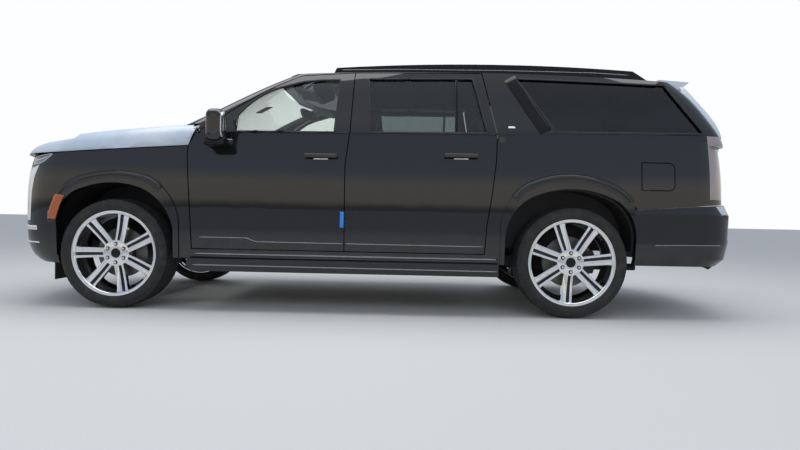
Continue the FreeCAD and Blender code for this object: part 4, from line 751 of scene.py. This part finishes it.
def laid(name, skin, line, profile, finish, body="body", slot=None, step=0.02, closed=False, make=pair):
    """A moulding laid on the skin, on both sides or, with make=piece, once."""
    make(name, side_moulding(skin, line, profile, step, closed), finish, body, slot)


def sheet(name, skin, low, high, counts, lift, finish, body="body", slot=None, make=pair):
    """A thin sheet laid on the skin between two lines, on both sides or, with make=piece, once."""
    make(name, skin_patch(skin, *between(low, high, *counts), lift), finish, body, slot)


SIDE = Skin("body_side_left front_door_left rear_door_left fender_left front_bumper rear_bumper headlamps")
PANES = Skin("front_door_glass_left rear_door_glass_left quarter_glass")
NOSE = Skin("front_bumper headlamps grille", axis=0)
GATE = Skin("tailgate", axis=0, sign=-1)
REAR_SCREEN = Skin("tailgate tailgate_glass", axis=0, sign=-1)
BUMPER_REAR = Skin("rear_bumper", axis=0, sign=-1)

# Protective film on the hood, the spoiler and a corner of the rear bumper


def hood_film():
    """The hood's faces that look away from a point inside the vehicle, but hardly down or back, thickened."""
    inside, most_down, most_back, doubles = np.array([1.7, 0, 0.2]), -0.2, -0.6, 2e-5
    corners, normal = triangles("hood")
    away = corners.mean(1) - inside
    away /= np.linalg.norm(away, axis=1, keepdims=True)
    outer = corners[((normal * away).sum(1) > Skin.FACING) & (normal[:, 2] > most_down)
                    & (normal[:, 0] > most_back)]
    made = piece("hood_film", (outer, np.arange(len(outer) * 3).reshape(-1, 3)), FILM, "hood", merge=0)
    weld(made, doubles, turn=False)
    made.data.polygons.foreach_set("use_smooth", np.ones(len(made.data.polygons), bool))
    wall = made.modifiers.new("film", "SOLIDIFY")
    wall.thickness = 0.0009
    wall.offset = 1.0
    crisp(made, 45)


SPOILER = ((-2.262, 1.8575), (-2.380, 1.8500), (-2.5010, 1.8400), (-2.5035, 1.8350), (-2.4835, 1.8215),
           (-2.4210, 1.7690), (-2.4170, 1.7675), (-2.3300, 1.7890), (-2.2640, 1.8050))
SPOILER_STATIONS = ((0.2, 1), (0.45, 1), (0.56, 1), (0.590, 1), (0.600, 0.995), (0.6030, 0.97), (0.6035, 0.90))


def spoiler_film():
    """The spoiler's section carried across the tailgate and drawn in towards its round ends."""
    section = rounded_line(SPOILER, 0.006, 3)
    across, shrink = np.array([(-y, s) for y, s in reversed(SPOILER_STATIONS)] + list(SPOILER_STATIONS)).T
    middle = np.array([-2.36, 1.822])
    flat = middle + (section[None] - middle) * shrink[:, None, None]
    return carried(stacked(flat[..., 0], across[:, None], flat[..., 1]))


hood_film()
crisp(piece("spoiler_film", spoiler_film(), FILM, "tailgate"), 40)
sheet("bumper_film", SIDE, [(-2.560, 0.846), (-2.640, 0.853)], [(-2.600, 0.782), (-2.690, 0.790)], (8, 10),
      0.0012, FILM)

# Lamps, markers and bright pieces at the front

for height, tall in ((0.592, 0.034), (0.482, 0.012)):
    laid(f"corner_brightwork_{round(height * 1000)}", NOSE, [(0.735, height), (0.955, height)],
         strip(tall, 0.004), CHROME, step=0.01)
laid("tall_light_guide", NOSE, [(0.842, 1.050), (0.860, 0.900), (0.862, 0.650)], strip(0.040, 0.003), GUIDE)
laid("inner_light_guide", NOSE, [(0.775, 1.040), (0.785, 0.900), (0.790, 0.650)], strip(0.016, 0.002), GUIDE)
BLADE_FRONT = [(2.600, 1.050), (2.618, 0.920), (2.632, 0.790), (2.642, 0.645)]
BLADE_REAR = [(2.508, 1.066), (2.551, 0.983), (2.577, 0.868), (2.589, 0.750), (2.597, 0.645)]
sheet("side_light_blade", SIDE, BLADE_FRONT, BLADE_REAR, (9, 26), 0.0020, GUIDE)
laid("side_light_edge", SIDE, BLADE_FRONT, strip(0.012, 0.0035), CHROME, slot="lamp_lens")
LENS_LOW = [(2.388, 1.148), (2.460, 1.096), (2.500, 1.080), (2.590, 1.072)]
LENS_HIGH = [(2.392, 1.152), (2.460, 1.146), (2.520, 1.138), (2.590, 1.128)]
sheet("upper_lamp_lens", SIDE, LENS_LOW, LENS_HIGH, (7, 20), 0.0015, GREY_LENS)
laid("upper_lamp_outline", SIDE, LENS_HIGH[::-1] + LENS_LOW, strip(0.007, 0.0030), CHROME, slot="lamp_lens",
     step=0.012)
laid("upper_lamp_bar", SIDE, [(2.440, 1.128), (2.500, 1.112), (2.580, 1.100)], strip(0.006, 0.0032), GUIDE,
     step=0.012)
MARKER_ROWS = 7
bulge = 0.0035 * np.sin(np.linspace(0, math.pi, MARKER_ROWS))[:, None] ** 0.5
sheet("side_marker", SIDE, [(2.336, 0.660), (2.318, 0.720), (2.296, 0.780), (2.268, 0.838)],
      [(2.396, 0.664), (2.392, 0.730), (2.372, 0.790), (2.334, 0.848)], (MARKER_ROWS, 12), 0.0085 + bulge, AMBER)

# Grille: bright frame, bars and a fine fin pattern behind them

BAR_SECTION = ((-0.0085, 0.0), (-0.0051, 0.003), (0.0051, 0.003), (0.0085, 0.0), (0.00765, -0.003),
               (-0.00765, -0.003))
BAR_PITCH = 0.060
GRILLE = Skin("grille", axis=0)
bars = [side_moulding(GRILLE, [(-0.536, height), (0.536, height)], BAR_SECTION, 0.03)
        for height in 0.609 + BAR_PITCH * np.arange(9)]
piece("grille_bar_faces", joined(bars), CHROME)


def ring_line(half, low, high):
    """Closed outline, wide by twice a half and between two heights."""
    return [(-half, low), (half, low), (half, high), (-half, high), (-half, low)]


laid("grille_frame", Skin("grille headlamps", axis=0), ring_line(0.549, 0.575, 1.112), strip(0.026, 0.006),
     CHROME, step=0.015, closed=True, make=piece)


def grille_fins():
    """Slim upright fins between the bars: one wedge section copied to every place by an outer sum."""
    y = np.arange(-0.525, 0.526, 0.0210)
    z = 0.639 + BAR_PITCH * np.arange(8)
    y, z = [a.ravel() for a in np.meshgrid(y, z, indexing="ij")]
    x = np.interp(np.abs(y), [0, 0.15, 0.30, 0.45, 0.56], [2.862, 2.857, 2.840, 2.812, 2.782])
    half, deep, tall = 0.0028, 0.016, 0.0205
    back, cheek = half * 0.7, -0.004
    corner = np.array([
        [0, 0, -tall], [0, 0, tall], [cheek, half, tall], [cheek, half, -tall], [-deep, back, tall],
        [-deep, back, -tall], [-deep, -back, tall], [-deep, -back, -tall], [cheek, -half, tall],
        [cheek, -half, -tall]])
    points = stacked(x, y, z)[:, None, :] + corner[None]
    shape = [(0, 3, 2, 1), (3, 5, 4, 2), (5, 7, 6, 4), (7, 9, 8, 6), (9, 0, 1, 8), (1, 2, 4, 6, 8), (0, 9, 7, 5, 3)]
    return points, [np.array(face) + len(corner) * k for k in range(len(y)) for face in shape]


piece("grille_fins", grille_fins(), BLACK)

# Trims on the sides

SEAL_SECTION = ((-0.006, 0.0), (-0.006, 0.0012), (0.008, 0.0012), (0.010, -0.012), (0.004, -0.012))
QUARTER_SEAL_SECTION = ((-0.005, 0.0), (-0.005, 0.0012), *SEAL_SECTION[2:])
SEALS = {
    "front_door": [(1.021, 1.345), (1.024, 1.479), (0.957, 1.560), (0.890, 1.622), (0.805, 1.676), (0.714, 1.713),
                   (0.534, 1.763), (0.400, 1.775), (0.246, 1.778), (0.268, 1.345), (1.021, 1.345)],
    "rear_door": [(0.028, 1.783), (-0.004, 1.350), (-0.868, 1.356), (-0.765, 1.790), (0.028, 1.783)],
}
for door, line in SEALS.items():
    laid(f"{door}_seal", SIDE, line, SEAL_SECTION, RUBBER, door + "_{}", closed=True)
laid("window_division", PANES, [(-0.640, 1.345), (-0.640, 1.792)],
     [(-0.011, 0.0), (-0.009, 0.0125), (0.009, 0.0125), (0.011, 0.0)], BLACK, "rear_door_{}")
laid("pillar_strip", SIDE, [(-1.045, 1.800), (-1.300, 1.372)], strip(0.098, 0.0012), BLACK, step=0.03)
laid("quarter_seal", SIDE, [(-1.096, 1.797), (-1.379, 1.375), (-2.484, 1.386), (-2.262, 1.728), (-2.236, 1.772),
                            (-1.096, 1.797)], QUARTER_SEAL_SECTION, RUBBER, step=0.03, closed=True)
sheet("pillar_plate", SIDE, [(-1.020, 1.398), (-1.076, 1.398)], [(-1.026, 1.412), (-1.070, 1.412)], (4, 8),
      0.002, GUIDE)
belt = strip(0.010, 0.0022)
laid("front_door_belt_strip", SIDE, [(1.030, 1.3405), (0.168, 1.3405)], belt, BLACK, "front_door_{}", step=0.04)
laid("rear_door_belt_strip", SIDE, [(0.140, 1.3455), (-0.932, 1.3455)], belt, BLACK, "rear_door_{}", step=0.04)
laid("quarter_belt_strip", SIDE, [(-1.330, 1.3640), (-2.480, 1.3740)], strip(0.008, 0.0018), BLACK, step=0.04)
# The crease strips paint the highlight along the lower doors' crease, in the darker copy of the bright trim.
crease = strip(0.007, 0.0028)
laid("front_door_crease", SIDE, [(1.255, 0.548), (0.900, 0.548), (0.830, 0.522), (0.182, 0.520)], crease,
     SHADED_CHROME, "front_door_{}")
laid("rear_door_crease", SIDE, [(0.166, 0.520), (-0.845, 0.518)], crease, SHADED_CHROME, "rear_door_{}", step=0.03)
laid("sill_strip", SIDE, [(1.295, 0.424), (-0.955, 0.424)], strip(0.014, 0.0030), SHADED_CHROME, step=0.04)
laid("board_strip", Skin("running_boards"), [(1.290, 0.345), (-0.950, 0.340)], strip(0.008, 0.0008), SHADED_CHROME,
     step=0.04)
sheet("edge_guard", SIDE, [(0.1745, 0.638), (0.2065, 0.638)], [(0.1745, 0.755), (0.2065, 0.755)], (10, 6), 0.004,
      FOAM, "front_door_{}")
# The bumper crease strip paints the highlight along the rear bumper's crease.
laid("bumper_crease", SIDE, [(-2.100, 0.552), (-2.300, 0.558), (-2.600, 0.560)], strip(0.007, 0.0020),
     SHADED_CHROME, step=0.03)


# Dark lines above the wheel flares: painted shadow under the flares' step

def arc_through(first, middle, last, count=14):
    """Points of the curve a(1-t)^2 + 2bt(1-t) + ct^2 that passes through the middle point at t = 1/2."""
    first, middle, last = [np.array(p, float) for p in (first, middle, last)]
    handle = 2 * middle - (first + last) / 2
    t = np.linspace(0, 1, count)[:, None]
    return first * (1 - t) ** 2 + 2 * handle * t * (1 - t) + last * t ** 2


def flare_line(axle, places):
    """Outline of a flare in the side view, from places in millimetres, every second one where arcs meet."""
    runs = [arc_through(*places[k:k + 3])[:-1] for k in range(0, len(places) - 1, 2)]
    return np.vstack(runs + [[places[-1]]]) / 1000 + np.array([axle, 0])


FLARE_SECTION = ((0.004, -0.001), (0.004, 0.0068), (0.008, 0.0075), (0.050, 0.0015), (0.054, -0.001))
painted_shadow_section = [(across - 0.007, lift) for across, lift in strip(0.007, 0.0010)]
FLARES = (
    ("front", AXLE_FRONT, 0, ((500, 640), (400, 886), (216, 990), (6, 1026), (-201, 1005), (-385, 900), (-496, 640))),
    ("rear", AXLE_REAR, 7, ((532, 600), (462, 868), (301, 1004), (14, 1058), (-279, 989), (-438, 850), (-505, 600))),
)
LAST_STATION = 33      # the lines stop above the sill and the bumper
for name, axle, start, places in FLARES:
    line = flare_line(axle, places)[start:LAST_STATION]
    # The dark rubber strip beside each flare's outline is painted shadow.
    laid(f"{name}_flare_line", SIDE, line, painted_shadow_section, RUBBER, step=0.015)
    laid(f"{name}_flare_band", SIDE, line, FLARE_SECTION, PAINT, step=0.015)

# Painted reflections in the handle cups, mirrors and wipers

# The chrome strips at the door handles are painted reflections of the light in the handle cups.
for door, start, end, height in (("front_door", 0.305, 0.415, 1.1405), ("rear_door", -0.730, -0.620, 1.1585)):
    laid(f"{door}_handle_strip", Skin(f"{door}_left"), [(start, height), (end, height)], strip(0.005, 0.0040),
         CHROME, door + "_{}")


def mirror_glass():
    """Flat glass a little inside the rear face of the mirror housing, with rounded corners."""
    y = np.array([1.062, 1.070, 1.085, 1.130, 1.158, 1.168, 1.172])
    low = np.array([1.300, 1.284, 1.272, 1.266, 1.276, 1.292, 1.310])
    high = np.array([1.425, 1.442, 1.452, 1.458, 1.446, 1.430, 1.412])
    t = np.linspace(0, 1, 7)
    z = low[:, None] * (1 - t) + high[:, None] * t
    x = np.interp(y, [1.030, 1.052, 1.120, 1.166, 1.184], [1.066, 1.048, 1.040, 1.050, 1.066])[:, None] - 0.0025
    face = stacked(x, y[:, None], z)
    return closed_slab(face, face + np.array([0.010, 0, 0]))


for part, centre, half in (("neck", (1.112, 1.064, 1.246), (0.080, 0.084, 0.030)),
                           ("base", (1.114, 0.982, 1.250), (0.094, 0.014, 0.030))):
    pair(f"mirror_{part}", ellipsoid_form(centre, half, (0.30, 0.35)), BLACK, "front_door_{}")
pair("mirror_glass", mirror_glass(), MIRROR, "front_door_{}")
laid("mirror_signal", Skin("front_door_left", axis=0), [(1.090, 1.352), (1.140, 1.350), (1.158, 1.348)],
     strip(0.010, 0.0015), GUIDE, "front_door_{}", step=0.01)

WIPER_BLADE = ((-0.004, 0.0006), (-0.011, 0.008), (-0.009, 0.014), (0.0, 0.017), (0.009, 0.014), (0.011, 0.008),
               (0.004, 0.0006))
WIPER_ARM = ((-0.007, 0.016), (-0.005, 0.023), (0.005, 0.023), (0.007, 0.016))


def wiper(name, skin, body, line, spindle):
    """Blade lying on a pane along a line, with a slim arm from its spindle."""
    blade = side_moulding(skin, line, WIPER_BLADE)
    arm = side_moulding(skin, [spindle, np.array(line).mean(0)], WIPER_ARM, 0.03)
    piece(name, joined([blade, arm]), BLACK, body)


SCREEN = Skin("windscreen cowl_panel", axis=0)
wiper("wiper_left", SCREEN, "body", [(0.640, 1.400), (0.060, 1.412)], (0.520, 1.388))
wiper("wiper_right", SCREEN, "body", [(-0.080, 1.400), (-0.560, 1.412)], (-0.140, 1.388))
wiper("wiper_rear", REAR_SCREEN, "tailgate", [(-0.020, 1.425), (-0.380, 1.430)], (0.0, 1.392))

# Bright bar, blank plate, reflectors and lower trims at the rear

gate_trim = [(y, 1.292 - 0.010 * (y / 0.7) ** 2) for y in np.linspace(-0.80, 0.80, 21)]
laid("gate_bright_bar", GATE, gate_trim, strip(0.030, 0.006), CHROME, "tailgate", step=0.03, make=piece)
sheet("blank_plate", GATE, [(-0.270, 1.045), (0.270, 1.045)], [(-0.270, 1.165), (0.270, 1.165)], (6, 24), 0.0045,
      GUIDE, "tailgate", "black_trim", piece)
laid("plate_frame", GATE, ring_line(0.276, 1.039, 1.171), strip(0.012, 0.0075), BLACK, "tailgate", closed=True,
     make=piece)
sheet("rear_reflector", BUMPER_REAR, [(0.640, 0.565), (0.820, 0.565)], [(0.640, 0.592), (0.820, 0.592)], (4, 14),
      0.003, RED)
laid("bumper_bright_line", BUMPER_REAR, [(-0.80, 0.535), (0.80, 0.535)], strip(0.010, 0.003), CHROME, step=0.03,
     make=piece)
sheet("bumper_lower_trim", BUMPER_REAR, [(-0.70, 0.36), (0.70, 0.36)], [(-0.74, 0.50), (0.74, 0.50)], (6, 40),
      0.0025, PLASTIC, make=piece)
brake_light = [(y, 1.8300) for y in np.linspace(-0.17, 0.17, 9)]
laid("high_brake_light", GATE, brake_light, strip(0.009, 0.0025), RED, "tailgate", step=0.03, make=piece)


def side_blade():
    """Blade beside the rear window: a wedge whose root lies in the skin and whose edge follows its own line."""
    z = np.linspace(1.372, 1.790, 24)
    y = np.interp(z, [1.372, 1.40, 1.50, 1.58, 1.66, 1.74, 1.79], [0.758, 0.752, 0.724, 0.698, 0.672, 0.645, 0.628])
    sound = [0, 5, 10, 15, 19]      # stations whose depth is read; the root runs straight between them
    root = np.interp(z, z[sound], REAR_SCREEN.depth(y, z)[sound]) + 0.012
    edge = np.interp(z, [1.36, 1.42, 1.50, 1.58, 1.66, 1.74, 1.80],
                     [-2.688, -2.682, -2.652, -2.606, -2.548, -2.492, -2.440])
    reach, thick = np.array([(0.0, 0.022), (0.55, 0.016), (0.94, 0.007), (1.0, 0.0), (0.94, -0.007),
                             (0.55, -0.014), (0.0, -0.020)]).T
    x = root[:, None] + (edge - root)[:, None] * reach
    return carried(stacked(x, y[:, None] + thick, z[:, None]))


pair("side_blade", side_blade(), FILM, "tailgate")

# Lower intake slats in the front bumper

for k in range(4):
    half, height = 0.60 - 0.02 * k, 0.345 + 0.034 * k
    laid(f"intake_slat_{k + 1}", NOSE, [(-half, height), (half, height)], strip(0.014, 0.006), BLACK, step=0.03,
         make=piece)


# Cabin: padded seats, wheel, dashboard, mirror, visors and trims

def pad(name, centre, half, power, tilt, channels, bolster, steps=(72, 88)):
    """Sewn cushion. A rounded box is pressed by sewn channels, crowned, and raised at its side bolsters.

    The pressed depth is a sum of narrow bells across each sewn line; the crown falls with the square of the
    distance from the middle, and a bolster rises smoothly where the place across passes two thirds."""
    seam_across = 0.66
    grid, faces = ellipsoid_form((0, 0, 0), half, power, steps)
    x, y, z = [grid[..., k] / half[k] for k in range(3)]
    aside = np.abs(y)
    press = sum((bell(x - place, 0.020) * (aside < seam_across) for place in channels), np.zeros_like(x))
    if bolster:
        press += bell(aside - seam_across, 0.022)
    raised = bolster * ramped(aside - 0.60, 0.2) * ramped(1.02 - aside, 0.2)
    crown = 0.007 * (1 - x ** 2) * (1 - y ** 2)
    grid[..., 2] += np.clip(z, 0, 1) ** 2 * (crown + raised - 0.0075 * press)
    grid[..., 1] *= 1 - 0.020 * (1 - x ** 2) * aside ** 6
    made = piece(name, (spun(grid, tilt, 0, 2) + np.array(centre), faces), LEATHER)
    return made


def seat_row(label, x):
    """Two seats side by side: cushion, back and head rest each, and their bases with the head rests' rods."""
    pads, frames = [], []
    for index, y in enumerate((-0.400, 0.400), 1):
        key = f"{label}_{index}"
        pads.append(pad(f"{key}_cushion", (x + 0.200, y, 0.742), (0.262, 0.260, 0.082), (0.30, 0.42), 0.03,
                        (-0.42, -0.08, 0.26), 0.022))
        pads.append(pad(f"{key}_back", (x - 0.048, y, 1.090), (0.315, 0.250, 0.060), (0.30, 0.42),
                        math.radians(111), (-0.50, -0.16, 0.18, 0.52), 0.024))
        pads.append(pad(f"{key}_head_rest", (x - 0.215, y, 1.505), (0.058, 0.124, 0.074), (0.42, 0.55), 0.10,
                        (), 0.0, (32, 40)))
        frames.append(ellipsoid_form((x + 0.190, y, 0.610), (0.205, 0.220, 0.0525), (0.12, 0.16), (40, 56)))
        rod, faces = lathe(((0.0, 1.36), (0.0062, 1.36), (0.0062, 1.46), (0.0, 1.46)), 14, False)
        frames += [(rod + np.array([x - 0.200, y + dy, 0]), faces) for dy in (-0.055, 0.055)]
    crisp(piece(f"{label}_bases", joined(frames), CABIN), 50)
    return pads


front = seat_row("front_seat", 0.250)
second = seat_row("second_seat", -0.720)
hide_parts("front_seats")
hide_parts("second_row_seats")
third = [pad("third_seat_cushion", (-1.570, 0, 0.822), (0.228, 0.600, 0.062), (0.22, 0.42), 0.02,
             (-0.35, 0.05), 0.012, steps=(96, 72)),
         pad("third_seat_back", (-1.800, 0, 1.100), (0.268, 0.590, 0.056), (0.22, 0.42), math.radians(109),
             (-0.45, 0.0, 0.42), 0.014, steps=(96, 72))]
piece("third_seat_base", ellipsoid_form((-1.575, 0, 0.700), (0.185, 0.560, 0.075), (0.10, 0.16), (40, 56)), CABIN)
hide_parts("third_row_seat")


def lining():
    """Cloth under the roof: a sheet a little below the lowest inner surface."""
    under = Skin("roof_panel roof_glass", axis=2, sign=-1)
    x, y = span_grid((-2.10, 0.40, 50), (-0.60, 0.60, 24))
    low = under.depth(x, y)
    low = np.minimum(low, np.median(low, 1)[:, None] + 0.02)
    grid = stacked(x, y, low - 0.010)
    return closed_slab(grid, grid + np.array([0, 0, 0.006]))


piece("roof_lining", lining(), LINING)
for y, suffix in ((-0.40, "right"), (0.40, "left")):
    piece(f"sun_visor_{suffix}", ellipsoid_form((0.560, y, 1.735), (0.085, 0.215, 0.011), (0.20, 0.35), (32, 40),
                                                math.radians(12)), LINING)
glass, faces = ellipsoid_form((0.640, 0, 1.640), (0.018, 0.130, 0.042), (0.35, 0.5), (32, 40), math.radians(-14))
glass[..., 0] += 0.30 * glass[..., 1]
stalk = side_moulding(Skin("windscreen", axis=0, sign=-1), [(0.0, 1.650), (0.0, 1.705)],
                      [(-0.018, 0.001), (-0.012, 0.05), (0.012, 0.05), (0.018, 0.001)], 0.01)
piece("rear_view_mirror", joined([(glass, faces), stalk]), BLACK, slot="interior_trim")


def roof_patch(along, across, lift, sink):
    """A sheet over a rectangle of the roof."""
    return skin_patch(ROOF_TOP, *span_grid(along, across), lift, sink)


ROOF_TOP = Skin("roof_panel roof_glass body_side_left", axis=2)
lip = [roof_patch((0.535, 0.672, 12), (0.44, 0.60, 10), 0.0165, -0.0120)]
lip += [roof_patch((0.580, 0.630, 4), (low, low + 0.012, 4), 0.0130, 0.002) for low in (0.455, 0.575)]
pair("roof_lip", joined(lip), BLACK)
# The darker bright strip along the roof rail is a painted highlight.
laid("rail_bright_line", Skin("roof_rails"), [(0.25, 1.868), (-0.20, 1.878), (-1.00, 1.880), (-1.70, 1.872),
                                              (-1.98, 1.858)], strip(0.006, 0.0012), SHADED_CHROME,
     slot="black_trim", step=0.04)

PAD_TOP = ((0.918, 1.135), (0.930, 1.165), (0.960, 1.196), (1.020, 1.216), (1.120, 1.232), (1.235, 1.240),
           (1.235, 1.205), (1.020, 1.185), (0.965, 1.160), (0.940, 1.120))


def dash_cover():
    """The dashboard's top section carried across, its front edge rising over the instruments."""
    section = rounded_line(PAD_TOP, 0.012, 4)
    y = np.linspace(-0.770, 0.770, 61)[:, None]
    hood_rise = 0.028
    rise = hood_rise * bell(y - 0.40, 0.17, 4) + 0.010 * bell(y, 0.20, 4)
    near = ramped(1.05 - section[:, 0], 0.12)
    x = section[:, 0] - 0.010 * rise / hood_rise * near
    return carried(stacked(x, y, section[:, 1] + rise * near))


piece("dash_cover", dash_cover(), CABIN)
screens = [ellipsoid_form((0.905, y, z), (0.010, wide / 2, tall / 2), (0.10, 0.14), (24, 40), math.radians(10))
           for y, wide, z, tall in ((0.400, 0.300, 1.165, 0.085), (0.020, 0.290, 1.130, 0.130))]
piece("dash_screens", joined(screens), BLACK, slot="interior_trim")
vents = [ellipsoid_form((0.926, y, 1.085 + 0.011 * k), (0.008, 0.042, 0.0028), (0.3, 0.4), (10, 12))
         for y in (-0.62, -0.50, 0.60, 0.70) for k in range(5)]
piece("dash_vents", joined(vents), BLACK, slot="interior_trim")


def steering_details():
    """Grip rim with finger swells, hub pad and three spokes, all in the wheel's own plane and then leaned."""
    count, round_grip, swells = 128, 16, 24
    angle = np.arange(count) * TURN / count
    around = np.linspace(0, TURN, round_grip, endpoint=False)
    thick = 0.0172 + 0.0016 * np.cos(angle * swells)
    radial = 0.185 + thick[:, None] * np.cos(around)
    rim = stacked(radial * np.cos(angle)[:, None], radial * np.sin(angle)[:, None], thick[:, None] * np.sin(around))
    parts = [(rim, grid_faces(count, round_grip, True, True)),
             ellipsoid_form((0, 0, 0.018), (0.075, 0.085, 0.026), (0.30, 0.45), (28, 36))]
    spoke, faces = ellipsoid_form((0.125, 0, 0.004), (0.066, 0.021, 0.009), (0.25, 0.35), (20, 24))
    parts += [(spun(spoke, angle), faces) for angle in (math.pi / 2, 3 * math.pi / 2, 0.0)]
    points, faces = joined(parts)
    return spun(points, math.radians(-72), 0, 2) + np.array([0.770, 0.400, 1.085]), faces


piece("steering_grip", steering_details(), LEATHER, slot="interior_trim")


def door_card(wall, x_low, x_high):
    """Inner door lining: a sheet on the door's inner wall with an arm rest swelling out of it."""
    z_low, z_high, length = 0.640, 1.270, x_high - x_low
    x, z = span_grid((x_low, x_high, 46), (z_low, z_high, 40))
    inner = wall.depth(x, z)
    inner = np.minimum(inner, np.median(inner) + 0.012)
    from_middle = x - ((x_low + x_high) / 2 - 0.06)
    rest = 0.045 * bell(z - 0.955, 0.045, 4) * bell(from_middle, 0.42 * length, 6)
    pocket = 0.020 * bell(z - 0.720, 0.07, 4) * bell(from_middle, 0.40 * length, 6)
    edge = np.minimum(np.minimum(x - x_low, x_high - x), np.minimum(z - z_low, z_high - z))
    swell = (0.010 + rest + pocket) * np.clip(edge / 0.02, 0.1, 1)
    return closed_slab(stacked(x, inner - swell, z), stacked(x, inner - 0.001, z))


for door, low, high in (("front_door", 0.235, 1.180), ("rear_door", -0.790, 0.020)):
    pair(f"{door}_card", door_card(Skin(f"{door}_left", sign=-1), low, high), CABIN, door + "_{}")


# Camera, light and floor

EYE, YAW, PITCH, ROLL = (-0.3254, 5.1758, 0.7358), 0.0217, -0.0167, 0.0195
SENSOR_WIDTH, PHOTO_WIDTH, FOCAL_PIXELS = 36, 800, 566.32
FLOOR_HALF = 60.0
SEEN_WHITE = (0.985, 0.99, 1.0)
SKY = ((0.0, (0.30, 0.30, 0.30)), (0.03, (0.95, 0.90, 0.80)), (0.15, (1.0, 0.96, 0.88)),
       (0.25, (0.58, 0.67, 0.82)), (0.60, (0.50, 0.58, 0.72)), (1.0, (0.95, 0.97, 1.0)))


def camera():
    """The photograph's viewpoint."""
    lens = bpy.data.cameras.new("camera")
    lens.sensor_width = SENSOR_WIDTH
    lens.lens = SENSOR_WIDTH * FOCAL_PIXELS / PHOTO_WIDTH
    forward = np.array([math.sin(YAW) * math.cos(PITCH), -math.cos(YAW) * math.cos(PITCH), math.sin(PITCH)])
    right = np.cross(forward, (0, 0, 1))
    right /= np.linalg.norm(right)
    up = np.cross(right, forward)
    c, s = math.cos(ROLL), math.sin(ROLL)
    turn = Matrix([list(c * right + s * up), list(-s * right + c * up), list(-forward)]).transposed()
    holder = added("camera", lens)
    holder.matrix_world = Matrix.Translation(EYE) @ turn.to_4x4()
    bpy.context.scene.camera = holder


def surround():
    """White where it is seen; elsewhere a soft sky, bright at the horizon and bluish above it."""
    world = bpy.data.worlds.new("studio")
    bpy.context.scene.world = world
    world.use_nodes = True
    net = Net(world.node_tree)
    seen = net.node("ShaderNodeLightPath", output="Is Camera Ray").math(
        "MAXIMUM", net.node("ShaderNodeLightPath", output="Is Transmission Ray"))
    direction = net.node("ShaderNodeTexCoord", output="Generated")
    height = net.node("ShaderNodeSeparateXYZ", None, (direction,), "Z")
    sky = net.node("ShaderNodeValToRGB", {"stops": SKY}, (height,), "Color")
    back = world.node_tree.nodes["Background"]
    net.fill(back.inputs["Color"], net.mix(seen, sky, SEEN_WHITE))
    net.fill(back.inputs["Strength"],
             net.node("ShaderNodeMapRange", None, {"Value": seen, "To Min": 0.80, "To Max": 1.0}))


def lamp(name, size, power, place, aim):
    """A soft lamp aimed at a point."""
    light = bpy.data.lights.new(name, "AREA")
    light.shape = "RECTANGLE"
    light.size, light.size_y = size
    light.energy = power
    made = added(name, light)
    look = Vector(place) - Vector(aim)
    made.matrix_world = Matrix.Translation(place) @ look.to_track_quat("Z", "Y").to_matrix().to_4x4()
    return made


def pale_floor():
    """Wide pale floor with a faint speckle."""
    f = Finish("pale_floor")
    speck = f.noise(80, 4, 0.6)
    f.set(Base_Color=f.mix(speck, (0.58, 0.58, 0.575), (0.63, 0.63, 0.625)), Roughness=0.7,
          Normal=f.bump(speck, 0.0006))
    mesh = bpy.data.meshes.new("floor")
    mesh.from_pydata([(x * FLOOR_HALF, y * FLOOR_HALF, 0) for x, y in ((-1, -1), (1, -1), (1, 1), (-1, 1))], [],
                     [(0, 1, 2, 3)])
    mesh.materials.append(f.material)
    ground = added("floor", mesh)


camera()
surround()
lamp("overhead", (7.5, 3.2), 190, (0.0, 0.4, 4.6), (0, 0, 0))
lamp("side_soft", (9.0, 2.0), 110, (0.5, 6.6, 3.4), (0, 0, 0.8)).visible_glossy = False
lamp("far_side_soft", (9.0, 2.0), 60, (0.5, -6.6, 3.4), (0, 0, 0.8)).visible_glossy = False
pale_floor()
bpy.context.scene.view_settings.view_transform = "Standard"
